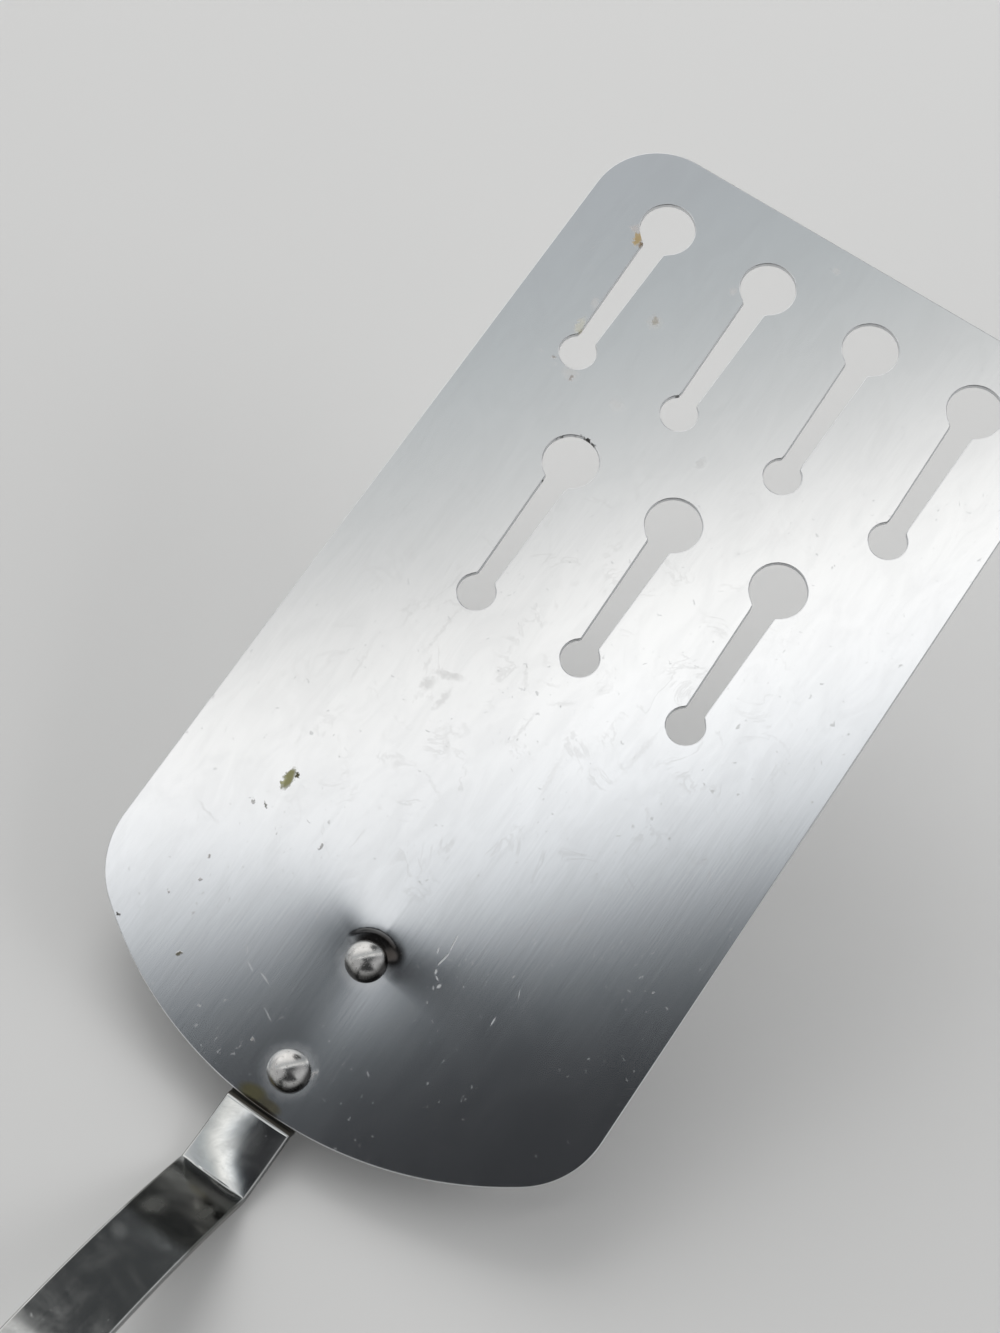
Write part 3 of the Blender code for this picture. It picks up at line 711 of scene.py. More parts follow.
class TURNER_OT_shank(bpy.types.Operator):
    """Shank: a strip under the blade that steps up behind it, bends and curves back to the handle"""
    bl_idname = "turner.shank"
    bl_label = "Shank"

    def execute(self, context):
        shank, blade = context.scene.turner_shank, context.scene.turner_blade
        front = blade.front_rivet + shank.end_margin
        step_x, step_y = STRIP_STEPS
        half = shank.width / 2.0
        places = front - shank_climb(shank, blade)[0]
        fold = places[LEAD_POINTS]
        dense = [
            (-shank.step_place - shank.step_width - STEP_ROOM, -shank.step_place + STEP_ROOM, STEP_FINE),
            (fold - FOLD_ROOM[0], fold + FOLD_ROOM[1], FOLD_FINE),
        ]
        grid = (grid_lines(-half, half, step_x, []), grid_lines(places[-1], front, step_y, dense))
        mesh = sheet("shank_strip", shank_distance, grid, shank.thickness, shank.edge, shank_place)
        new_piece("shank_strip", mesh, bright_chrome(shank), "shank")
        return {'FINISHED'}


# Blade rivets

RIVET_STEPS = 96
DOME_POINTS = 20
TAIL_ROUND = 0.35 * MM
TAIL_POINTS = 6
DOME_WOBBLE = 0.012
HAMMER_WAVES = (
    # waves around the head, their share, their start, and their twist for each metre of height
    (2.0, 1.0, 0.7, 0.0),
    (3.0, 0.6, 0.0, 900.0),
    (5.0, 0.4, 1.9, 0.0),
)
# Dirt round each blade rivet's foot, reaching much higher on the side turned from the light. That higher
# reach is painted shade on the head's lower half.
FOOT_DIRT_AND_PAINTED_SHADE_REACH = (1.0 * MM, 2.2 * MM)
FOOT_DIRT_AND_PAINTED_SHADE_FADE = 0.45
PAINTED_SHADE_TURN = -54.0 * DEGREE
PAINTED_SHADE_SPREAD = (60.0 * DEGREE, 115.0 * DEGREE)


def hammered(radius, height, turn):
    """Slight unevenness of a closed rivet head: a few long waves around it, and none on the pin."""
    wave = sum(share * np.sin(count * turn + start + twist * height)
               for count, share, start, twist in HAMMER_WAVES)
    return radius * (1.0 + DOME_WOBBLE * wave * (height > 0.0)), height


class TURNER_OT_blade_rivets(bpy.types.Operator):
    """Blade rivets: round heads on the blade, pins through both sheets and closed tails under the strip"""
    bl_idname = "turner.blade_rivets"
    bl_label = "Blade rivets"

    def execute(self, context):
        scene = context.scene
        rivet, blade, shank = scene.turner_rivets, scene.turner_blade, scene.turner_shank
        origin, axes = blade_axes()
        material = rivet_steel(rivet)
        half, pin, tail = rivet.head / 2.0, rivet.pin / 2.0, rivet.tail / 2.0
        ball = ball_radius(half, rivet.height)
        under = -blade.thickness - shank.gap - shank.thickness - rivet.seat_gap
        end = under - rivet.tail_height
        tail_edge = arc((tail - TAIL_ROUND, end + TAIL_ROUND), TAIL_ROUND, 0.0, -QUARTER, TAIL_POINTS)
        around = np.linspace(0.0, 2.0 * math.pi, RIVET_STEPS)
        low, high = FOOT_DIRT_AND_PAINTED_SHADE_REACH
        for name, row in (("front", blade.front_rivet), ("rear", blade.rear_rivet)):
            seat = blade_height(half * np.cos(around), row + half * np.sin(around))
            foot = seat.min()
            top = max(seat.max(), 0.0) + rivet.height
            dome = arc((0.0, top - ball), ball, QUARTER, math.asin(1.0 - rivet.height / ball), DOME_POINTS)
            profile = [*dome, (half, foot), (pin, foot), (pin, under), (tail, under), *tail_edge, (0.0, end)]
            at = (origin + axes[1] * row, axes)
            mesh = turned(f"blade_rivet_{name}_head", profile, RIVET_STEPS, at, hammered)
            points = np.empty(3 * len(mesh.vertices), np.float32)
            mesh.vertices.foreach_get("co", points)
            x, y, rise = ((points.reshape(-1, 3) - at[0]) @ axes.T).T
            # Foot mask: dirt low round the foot, and painted shade higher up the side turned from the light.
            reach = low + (high - low) * facing(x, y, PAINTED_SHADE_TURN, PAINTED_SHADE_SPREAD)
            add_value(mesh, "foot", soft_step((foot + reach - rise) / (FOOT_DIRT_AND_PAINTED_SHADE_FADE * reach)))
            new_piece(f"blade_rivet_{name}_head", mesh, material, f"blade_rivet_{name}")
        return {'FINISHED'}


# Handle

HANDLE_STATIONS = 150
ROUND_STATIONS = 14
SECTION_STEPS = 64
HEAD_ROUND = 0.25 * MM
HEAD_LEAD = 0.3
CROWN_POINTS = 10
HEAD_POINTS = 5
MOUTH_POINTS = 8
LIP_POINTS = 14


def roll_in(distance, radius, half):
    """Share of the section near an end, where the surface rolls in by a quarter circle."""
    left = np.clip(radius - distance, 0.0, radius)
    return 1.0 - (radius - np.sqrt(radius ** 2 - left ** 2)) / half


def section_share(inset, handle):
    """Share of the full section at a place behind the front: two parabolas that meet at the swell."""
    front, end = handle.front_width / handle.width, handle.end_width / handle.width
    ahead = 1.0 - (1.0 - front) * (1.0 - inset / handle.swell) ** 2
    behind = 1.0 - (1.0 - end) * ((inset - handle.swell) / (handle.reach - handle.swell)) ** 2
    share = np.where(inset < handle.swell, ahead, behind)
    share = share * roll_in(inset, handle.front_round, front * handle.height / 2.0)
    return share * roll_in(handle.reach - inset, handle.end_round, end * handle.height / 2.0)


def handle_stations(handle):
    """Places behind the front and the share of the section there, closer together where the ends roll in."""
    rolled = 1.0 - np.cos(np.linspace(0.0, QUARTER, ROUND_STATIONS))
    front = handle.front_round * rolled
    end = handle.reach - handle.end_round * rolled[::-1]
    inset = np.concatenate([front, np.linspace(front[-1], end[0], HANDLE_STATIONS)[1:-1], end])
    return inset, section_share(inset, handle)


def fastener_seats(handle):
    """Each hole in the handle: its place, and the recess and bore radius and seat height in one half."""
    crown = handle.height / 2.0
    rivet = (handle.rivet_head / 2.0 + handle.hole_gap, handle.rivet_pin / 2.0 + handle.hole_gap)
    eyelet = (handle.flange / 2.0 + handle.hole_gap, handle.bore / 2.0 + handle.wall + handle.hole_gap)
    places = (
        (handle.front_inset, *rivet, handle.rivet_sink),
        (handle.rear_inset, *rivet, handle.rivet_sink),
        (handle.reach - handle.end_inset, *eyelet, handle.eyelet_sink),
    )
    return [(inset, recess, bore, crown * float(section_share(np.array(inset), handle)) - sink)
            for inset, recess, bore, sink in places]


def handle_half(name, upward, handle):
    """Half of the handle: an oval section |x/w|^n + |z/h|^n = 1 swept along the tang, with recessed holes.

    The surface is a function of the station and the turn round the section. Its flat side is the same
    surface laid on the parting plane, each end is closed between the two, and each hole's wall steps in at
    the seat from recess to bore.
    """
    inset, share = handle_stations(handle)
    turn = np.linspace(0.0, math.pi, SECTION_STEPS + 1)
    station = np.arange(len(inset), dtype=float)
    parting = handle.parting / 2.0
    power = 2.0 / handle.squareness
    seats = fastener_seats(handle)

    def surface(points):
        """Place of a station and turn on the half, over the parting plane."""
        place = np.interp(points[:, 0], station, inset)
        scale = np.interp(points[:, 0], station, share)
        across, up = np.cos(points[:, 1]), np.sin(points[:, 1])
        x = -np.sign(across) * np.abs(across) ** power * scale * handle.width / 2.0
        z = np.abs(up) ** power * (scale * handle.height / 2.0 - parting)
        return np.stack([x, -place, parting + np.maximum(z, 0.0)], axis=1)

    def hole_distance(x, y):
        """Distance out of the nearest recess."""
        return np.min([np.hypot(x, y + place) - recess for place, recess, *_ in seats], axis=0)

    grid = np.stack(np.meshgrid(station, turn, indexing='ij'), axis=-1)
    on_surface = surface(grid.reshape(-1, 2))
    field = hole_distance(on_surface[:, 0], on_surface[:, 1]).reshape(grid.shape[:2])
    flat, faces, rim = region(field, station, turn)
    top = surface(flat)
    base = top * (1.0, 1.0, 0.0) + (0.0, 0.0, parting)
    border = np.unique(rim)
    edge = top[border]
    which = np.argmin([np.hypot(edge[:, 0], edge[:, 1] + seat[0]) for seat in seats], axis=0)
    place, recess, bore, seat = np.array(seats)[which].T
    ratio = bore / np.hypot(edge[:, 0], edge[:, 1] + place)
    inner = np.stack([edge[:, 0] * ratio, (edge[:, 1] + place) * ratio - place], axis=1)
    steps = [
        np.column_stack([edge[:, :2], seat]),
        np.column_stack([inner, seat]),
        np.column_stack([inner, np.full(len(border), parting)]),
    ]
    _, under, closed = closing(len(flat), border, rim, len(steps), faces)
    front = np.arange(len(turn))
    end = front + np.count_nonzero(field > 0.0) - len(turn)
    caps = [np.stack([row[:-1], row[1:], under + row[1:], under + row[:-1]], axis=1) for row in (front, end)]
    local = np.concatenate([top, *steps, base]) * (1.0, 1.0, upward)
    mesh = new_mesh(name, placed(local, handle_axes()), [*faces, *closed, *caps])
    shape = bmesh.new()
    shape.from_mesh(mesh)
    bmesh.ops.remove_doubles(shape, verts=shape.verts, dist=WELD)
    bmesh.ops.recalc_face_normals(shape, faces=shape.faces)
    shape.to_mesh(mesh)
    shape.free()
    mesh.shade_smooth()
    mesh.set_sharp_from_angle(angle=SHARP)
    return mesh


class TURNER_OT_handle(bpy.types.Operator):
    """Handle: two moulded halves over the tang, with recesses for the rivets and the eyelet"""
    bl_idname = "turner.handle"
    bl_label = "Handle"

    def execute(self, context):
        handle = context.scene.turner_handle
        material = black_moulding(handle)
        for name, upward in (("handle_half_upper", 1.0), ("handle_half_lower", -1.0)):
            mesh = handle_half(f"{name}_shell", upward, handle)
            new_piece(f"{name}_shell", mesh, material, name)
        return {'FINISHED'}


class TURNER_OT_handle_rivets(bpy.types.Operator):
    """Handle rivets: low crowned heads in the recesses of both halves, on a pin through the tang"""
    bl_idname = "turner.handle_rivets"
    bl_label = "Handle rivets"

    def execute(self, context):
        handle = context.scene.turner_handle
        origin, axes = handle_axes()
        material = nickel_plate(handle)
        half, pin = handle.rivet_head / 2.0, handle.rivet_pin / 2.0
        ball = ball_radius(half, handle.rivet_crown)
        flat_end = math.acos((half - HEAD_ROUND) / ball)
        for name, (inset, *_, seat) in zip(("front", "rear"), fastener_seats(handle)):
            rest = seat + handle.seat_gap
            rim = rest + handle.rivet_rim
            crown = arc((0.0, rim + handle.rivet_crown - ball), ball, QUARTER, flat_end, CROWN_POINTS)
            corner = (half - HEAD_ROUND, rim - HEAD_ROUND)
            edge = arc(corner, HEAD_ROUND, QUARTER - HEAD_LEAD, 0.0, HEAD_POINTS)
            upper = np.concatenate([crown, edge, [(half, rest), (pin, rest)]])
            upper[0, 0] = 0.0
            at = (origin - axes[1] * inset, axes)
            mesh = turned(f"handle_rivet_{name}_head", both_ways(upper), RIVET_STEPS, at)
            new_piece(f"handle_rivet_{name}_head", mesh, material, f"handle_rivet_{name}")
        return {'FINISHED'}


class TURNER_OT_eyelet(bpy.types.Operator):
    """Eyelet: a tube through the handle's hanging hole with a rolled flange at each end"""
    bl_idname = "turner.eyelet"
    bl_label = "Eyelet"

    def execute(self, context):
        handle = context.scene.turner_handle
        origin, axes = handle_axes()
        inset, *_, seat = fastener_seats(handle)[-1]
        inner = handle.bore / 2.0
        tube = inner + handle.wall
        rest = seat + handle.seat_gap
        roll = handle.flange_height / 2.0
        mouth = arc((inner + roll, rest + roll), roll, math.pi, QUARTER, MOUTH_POINTS)
        lip = arc((handle.flange / 2.0 - roll, rest + roll), roll, QUARTER, -QUARTER, LIP_POINTS)
        upper = np.concatenate([mouth, lip, [(tube, rest)]])
        at = (origin - axes[1] * inset, axes)
        mesh = turned("hang_eyelet_ring", both_ways(upper), RIVET_STEPS, at)
        new_piece("hang_eyelet_ring", mesh, nickel_plate(handle), "hang_eyelet")
        return {'FINISHED'}


# Materials

def add(tree, kind, inputs=None, **settings):
    """Node with its settings, and with values or links on its inputs."""
    node = tree.nodes.new(kind)
    for name, value in settings.items():
        setattr(node, name, value)
    for name, value in (inputs or {}).items():
        if isinstance(value, bpy.types.NodeSocket):
            tree.links.new(value, node.inputs[name])
        else:
            node.inputs[name].default_value = value
    return node


def math_node(tree, operation, *values):
    """Result of a Math node on numbers or other results."""
    return add(tree, 'ShaderNodeMath', dict(enumerate(values)), operation=operation).outputs[0]


def times(tree, first, second):
    """Product of two values."""
    return math_node(tree, 'MULTIPLY', first, second)


def summed(tree, value, layers):
    """Value plus each mask times its gain."""
    for mask, gain in layers:
        value = math_node(tree, 'MULTIPLY_ADD', mask, gain, value)
    return value


def most(tree, masks):
    """Greatest of several masks at each place."""
    whole = masks[0]
    for mask in masks[1:]:
        whole = math_node(tree, 'MAXIMUM', whole, mask)
    return whole


def vector_node(tree, operation, first, second):
    """Vector Math node on two vectors."""
    node = add(tree, 'ShaderNodeVectorMath', {0: first, 1: second}, operation=operation)
    return node.outputs["Value" if operation == 'DOT_PRODUCT' else "Vector"]


def noise(tree, vector, scale, detail, **more):
    """Outputs of a noise texture."""
    inputs = {"Vector": vector, "Scale": scale, "Detail": detail, **more}
    return add(tree, 'ShaderNodeTexNoise', inputs).outputs


def span(tree, value, low, high, out_low=0.0, out_high=1.0):
    """Value moved smoothly from one range to another."""
    node = add(tree, 'ShaderNodeMapRange', {
        "Value": value, "From Min": low, "From Max": high, "To Min": out_low, "To Max": out_high,
    }, interpolation_type='SMOOTHSTEP')
    return node.outputs["Result"]


def fall(tree, value, low, high):
    """Smooth fall from 1 to 0 over a range."""
    return span(tree, value, low, high, 1.0, 0.0)


def blended(tree, share, first, second):
    """Mix of two colours."""
    return add(tree, 'ShaderNodeMix', {0: share, 6: first, 7: second}, data_type='RGBA').outputs[2]


def coated(tree, colour, layers):
    """Colour under several layers, each a mask, its share and its shade."""
    for mask, share, shade in layers:
        cover = times(tree, mask, share) if share < 1.0 else mask
        colour = blended(tree, cover, colour, (*shade, 1.0))
    return colour


def patchy(tree, patches, colour, factor):
    """Colour that is lighter or darker by a factor in patches."""
    return blended(tree, patches, (*colour, 1.0), (*[c * factor for c in colour], 1.0))


def attribute(tree, name):
    """Named number of the piece's points."""
    return add(tree, 'ShaderNodeAttribute', attribute_name=name).outputs["Fac"]


SMUDGE_LEVELS = (0.36, 0.68)
CLOUD_SCALE = 0.09
CLOUD_DEPTH = 0.22
PIT_EDGE = 14.0
LINE_LEVELS = (0.004, 0.030)
LOOSE_SCALE = 1.7
LOOSE_LEVELS = (0.46, 0.62)


def rolling_grain(tree, vector, stretch):
    """Fine streaks: noise on a stretched pattern."""
    return noise(tree, vector_node(tree, 'MULTIPLY', vector, stretch), 1.0, 3.0, Roughness=0.6)["Fac"]


def handling_smudges(tree, vector, scale):
    """Soft uneven patches, left by use and wiping."""
    cloud = noise(tree, vector, scale, 5.0, Roughness=0.62, Distortion=0.9)["Fac"]
    return span(tree, cloud, *SMUDGE_LEVELS)


def small_pits(tree, vector, scale, rarity):
    """Scattered specks: the rare high spots of a fine noise, gathered in loose clouds."""
    fine = noise(tree, vector, scale, 2.0, Distortion=0.6)["Fac"]
    broad = noise(tree, vector, times(tree, scale, CLOUD_SCALE), 2.0)["Fac"]
    level = math_node(tree, 'SUBTRACT', rarity, times(tree, broad, CLOUD_DEPTH))
    over = math_node(tree, 'SUBTRACT', fine, level)
    steep = add(tree, 'ShaderNodeMath', {0: over, 1: PIT_EDGE}, operation='MULTIPLY', use_clamp=True)
    return steep.outputs[0]


def dried_outlines(tree, vector, scale):
    """Thin broken lines where something dried: the mid level of a folded noise, in loose pieces."""
    folded = noise(tree, vector, scale, 5.0, Roughness=0.6, Distortion=1.1)["Fac"]
    loose = noise(tree, vector, times(tree, scale, LOOSE_SCALE), 2.0)["Fac"]
    off = math_node(tree, 'ABSOLUTE', math_node(tree, 'SUBTRACT', folded, 0.5))
    return times(tree, fall(tree, off, *LINE_LEVELS), span(tree, loose, *LOOSE_LEVELS))


def oval_mark(tree, vector, place, turn, size):
    """One soft oval on the pattern: 1 in its middle, 0 from its edge on."""
    own = add(tree, 'ShaderNodeMapping', {
        "Vector": vector, "Location": place, "Rotation": turn, "Scale": size,
    }, vector_type='TEXTURE').outputs[0]
    return add(tree, 'ShaderNodeTexGradient', {"Vector": own}, gradient_type='SPHERICAL').outputs["Fac"]


EFFECTS = {
    # each shared group: what fills it, its inputs with their kinds, and its output
    "Rolling grain": (rolling_grain, {"Vector": 'Vector', "Stretch": 'Vector'}, "Streaks"),
    "Handling smudges": (handling_smudges, {"Vector": 'Vector', "Scale": 'Float'}, "Patches"),
    "Small pits": (small_pits, {"Vector": 'Vector', "Scale": 'Float', "Rarity": 'Float'}, "Specks"),
    "Dried outlines": (dried_outlines, {"Vector": 'Vector', "Scale": 'Float'}, "Lines"),
    "Oval mark": (
        oval_mark, {"Vector": 'Vector', "Place": 'Vector', "Turn": 'Vector', "Size": 'Vector'}, "Mask"
    ),
}


def effect(tree, name, **inputs):
    """Shared effect placed with its own values; its group is built when it is first asked for."""
    group = bpy.data.node_groups.get(name)
    if not group:
        fill, kinds, output = EFFECTS[name]
        group = bpy.data.node_groups.new(name, 'ShaderNodeTree')
        for socket, kind in kinds.items():
            group.interface.new_socket(socket, in_out='INPUT', socket_type=f'NodeSocket{kind}')
        group.interface.new_socket(output, in_out='OUTPUT', socket_type='NodeSocketFloat')
        ends = group.nodes.new('NodeGroupInput'), group.nodes.new('NodeGroupOutput')
        group.links.new(fill(group, *ends[0].outputs[:len(kinds)]), ends[1].inputs[output])
    return add(tree, 'ShaderNodeGroup', inputs, node_tree=group).outputs[0]


def wear(tree, place, smudges, pits, rarity, stretch):
    """Masks that most finishes share: patches, specks and streaks, each at its own scale."""
    return (
        effect(tree, "Handling smudges", Vector=place, Scale=smudges),
        effect(tree, "Small pits", Vector=place, Scale=pits, Rarity=rarity),
        effect(tree, "Rolling grain", Vector=place, Stretch=stretch),
    )


def new_finish(name, metallic):
    """Material with a plain Principled shader; returns it with its tree and shader."""
    material = bpy.data.materials.new(name)
    material.use_nodes = True
    shader = material.node_tree.nodes["Principled BSDF"]
    shader.inputs["Metallic"].default_value = metallic
    return material, material.node_tree, shader


def join(tree, shader, colour, rough, height, depth):
    """Colour, roughness and bumps of a given depth, led to the shader."""
    bumps = add(tree, 'ShaderNodeBump', {"Height": height, "Distance": depth}).outputs["Normal"]
    for name, socket in (("Base Color", colour), ("Roughness", rough), ("Normal", bumps)):
        tree.links.new(socket, shader.inputs[name])


STAINS = (
    # place x, y and half sizes in mm, turn in degrees, colour, strength, crispness
    ((-28.15, 129.3), (0.75, 1.5), 8.0, (0.50, 0.36, 0.15), 0.90, 0.8),
    ((-27.3, 128.7), (0.45, 0.7), 0.0, (0.24, 0.15, 0.06), 0.85, 0.6),
    ((-29.3, 130.3), (0.9, 1.0), 0.0, (0.50, 0.42, 0.38), 0.40, 0.7),
    ((-27.4, 113.4), (0.9, 1.9), 6.0, (0.62, 0.59, 0.42), 0.45, 0.4),
    ((-26.7, 112.6), (0.5, 0.8), 0.0, (0.52, 0.48, 0.28), 0.45, 0.5),
    ((-27.6, 117.4), (0.8, 1.3), 10.0, (0.60, 0.57, 0.54), 0.30, 0.4),
    ((-18.9, 119.8), (0.7, 0.9), 30.0, (0.40, 0.37, 0.31), 0.80, 0.2),
    ((-18.9, 119.6), (1.5, 1.7), 0.0, (0.58, 0.55, 0.48), 0.30, 0.1),
    ((-23.95, 106.05), (0.45, 0.6), 0.0, (0.34, 0.29, 0.26), 0.80, 0.4),
    ((-24.5, 106.6), (1.8, 1.5), 0.0, (0.60, 0.57, 0.53), 0.28, 0.3),
    ((-27.8, 107.3), (0.35, 0.4), 0.0, (0.34, 0.31, 0.28), 0.80, 0.2),
    ((-16.4, 106.1), (1.6, 1.3), 0.0, (0.64, 0.62, 0.59), 0.25, 0.2),
    ((-12.3, 129.8), (0.7, 1.0), 0.0, (0.60, 0.57, 0.54), 0.30, 0.3),
    ((-1.9, 140.5), (1.0, 0.8), 0.0, (0.60, 0.58, 0.55), 0.25, 0.3),
    ((-1.9, 105.2), (0.9, 1.4), 0.0, (0.64, 0.62, 0.60), 0.25, 0.3),
    ((-22.7, 37.0), (0.85, 2.1), 6.0, (0.30, 0.29, 0.12), 0.95, 0.7),
    ((-23.0, 36.4), (0.35, 0.9), 6.0, (0.52, 0.52, 0.30), 0.80, 0.5),
    ((-22.0, 38.1), (0.3, 0.6), 60.0, (0.09, 0.08, 0.03), 1.00, 0.6),
    ((-23.1, 32.4), (0.22, 0.6), 62.0, (0.20, 0.19, 0.15), 0.85, 0.4),
    ((-13.7, 31.9), (0.35, 0.45), 0.0, (0.40, 0.39, 0.36), 0.70, 0.2),
    ((-24.7, 31.9), (0.25, 0.3), 0.0, (0.42, 0.40, 0.37), 0.60, 0.2),
    ((-25.2, 22.6), (0.25, 0.3), 0.0, (0.36, 0.33, 0.30), 0.70, 0.2),
    ((-24.3, 19.5), (0.22, 0.28), 0.0, (0.36, 0.33, 0.30), 0.60, 0.2),
    ((-26.8, 15.9), (0.3, 0.35), 0.0, (0.40, 0.38, 0.35), 0.50, 0.3),
    ((2.9, 7.4), (0.45, 1.2), -10.0, (0.20, 0.17, 0.13), 0.35, 0.3),
    ((-20.8, 10.1), (0.4, 0.45), 0.0, (0.12, 0.11, 0.07), 0.95, 0.5),
    ((-30.5, 9.8), (0.35, 0.4), 0.0, (0.08, 0.08, 0.07), 0.95, 0.5),
    ((-6.2, 6.6), (0.4, 0.35), 0.0, (0.16, 0.14, 0.12), 0.80, 0.4),
)
BURRS = (
    # place x, y and half sizes in mm, turn in degrees: dark ragged bits on the cut edges
    ((-26.6, 112.0), (0.25, 1.3), -30.0),
    ((-9.9, 111.7), (0.30, 1.5), -28.0),
    ((-9.55, 119.4), (0.20, 0.6), 0.0),
    ((-9.95, 129.3), (0.22, 0.5), -20.0),
    ((7.1, 122.9), (0.18, 0.6), 0.0),
    ((-19.4, 98.2), (1.5, 0.28), 38.0),
    ((-16.6, 99.4), (1.6, 0.22), -8.0),
    ((-18.3, 91.2), (0.22, 0.8), -14.0),
    ((-17.9, 75.3), (0.25, 1.2), -30.0),
)
SCRATCHES = (
    # middle x, y, half width and half length in mm, turn in degrees, strength
    ((8.1, 31.2), (0.13, 1.9), 8.0, 0.7),
    ((8.2, 28.8), (0.16, 1.6), -9.0, 0.9),
    ((8.3, 26.9), (0.24, 0.55), 22.0, 0.7),
    ((8.9, 26.3), (0.18, 0.6), 60.0, 0.55),
    ((9.7, 25.6), (0.30, 0.5), -14.0, 0.7),
    ((9.2, 25.0), (0.20, 0.4), 30.0, 0.45),
    ((6.95, 29.3), (0.16, 0.6), 20.0, 0.6),
    ((18.05, 25.8), (0.17, 0.9), 3.0, 0.7),
    ((18.8, 30.6), (0.14, 0.8), 24.0, 0.35),
    ((8.6, 11.3), (0.16, 0.7), 50.0, 0.3),
    ((20.5, 17.4), (0.14, 0.4), 35.0, 0.35),
    ((-6.5, 10.2), (0.14, 1.5), 62.0, 0.35),
    ((-12.1, 14.0), (0.20, 1.0), 62.0, 0.3),
    ((-9.6, 13.8), (0.20, 1.2), 70.0, 0.35),
    ((-13.8, 15.6), (0.18, 0.9), 40.0, 0.3),
)
SMEARS = (
    # middle x, y, half width and half length in mm, turn in degrees, strength
    ((-13.3, 60.7), (0.8, 3.0), -72.0, 0.55),
    ((-14.9, 58.2), (1.2, 1.7), -20.0, 0.55),
    ((-12.0, 57.4), (0.7, 2.7), -6.0, 0.45),
    ((-16.6, 60.6), (0.5, 1.6), 10.0, 0.35),
    ((-17.6, 66.0), (0.35, 6.5), -2.0, 0.30),
    ((-24.0, 55.0), (0.40, 5.0), 4.0, 0.22),
    ((-0.8, 60.2), (0.40, 4.2), -4.0, 0.30),
    ((-4.6, 66.4), (0.5, 3.0), 34.0, 0.26),
    ((1.8, 66.0), (0.5, 2.2), -52.0, 0.26),
    ((-7.9, 52.6), (0.7, 2.6), 40.0, 0.24),
    ((-6.2, 47.0), (0.4, 3.2), 64.0, 0.20),
    ((-29.0, 27.4), (0.3, 3.0), 78.0, 0.28),
    ((6.0, 57.0), (0.6, 5.0), 6.0, 0.22),
    ((14.0, 66.0), (0.6, 6.0), -6.0, 0.20),
)
FILMS_AND_PAINTED_SHADE = (
    # middle x, y and half sizes in mm, turn in degrees, colour laid over the plate, strength
    ((-20.0, 46.0), (34.0, 52.0), 0.0, (0.0, 0.0, 0.0), 0.085),
    # Next two: a dark crescent along the dent's steep wall ahead of the front rivet, and a patch at its
    # right side. They are mostly painted shade, with some dirt at the crescent's right end.
    ((-0.1, 25.5), (4.4, 2.7), 12.0, (0.035, 0.030, 0.028), 0.98),
    ((2.5, 25.4), (2.1, 2.2), 0.0, (0.05, 0.045, 0.042), 0.98),
    ((-2.2, 1.1), (2.6, 1.5), 8.0, (0.78, 0.70, 0.38), 0.95),
    ((0.6, 0.9), (2.2, 1.0), 0.0, (0.66, 0.58, 0.38), 0.90),
    ((-0.6, 0.1), (4.4, 0.6), 0.0, (0.08, 0.06, 0.035), 0.95),
)
OUTLINED = ((0.0, 64.0), (44.0, 52.0), 0.0)
RIVET_RING = (5.0, 5.0)
RING_LEVELS = (0.10, 0.50)
FILM_FADE = 0.6
PATCH_FADE = 0.2
BREAK_LEAST = 0.4
BREAK_GAIN = 0.6
SATIN_GRAIN = (150.0, 9.0, 1.0)
SMEAR_STRETCH = (2.6, 1.0, 1.0)
RAGGED = (0.012, 0.012, 0.012)
WIPED_SHADE = (0.52, 0.51, 0.50)
SPECK_SHADE = (0.42, 0.40, 0.37)
CUT_SHADE = (0.70, 0.71, 0.72)
BURR_SHADE = (0.03, 0.028, 0.025)


def mark(tree, flat, place, size, turn):
    """Oval mark from its place and half sizes in millimetres and its turn in degrees."""
    return effect(
        tree, "Oval mark", Vector=flat, Turn=(0.0, 0.0, turn * DEGREE),
        Place=[c * MM * PATTERN_SCALE for c in place] + [0.0],
        Size=[c * MM * PATTERN_SCALE for c in size] + [1.0],
    )


def soft_mark(tree, flat, shape, fade, strength):
    """Oval mark that comes up to its strength over a share of its half sizes."""
    return span(tree, mark(tree, flat, *shape), 0.0, fade, 0.0, strength)


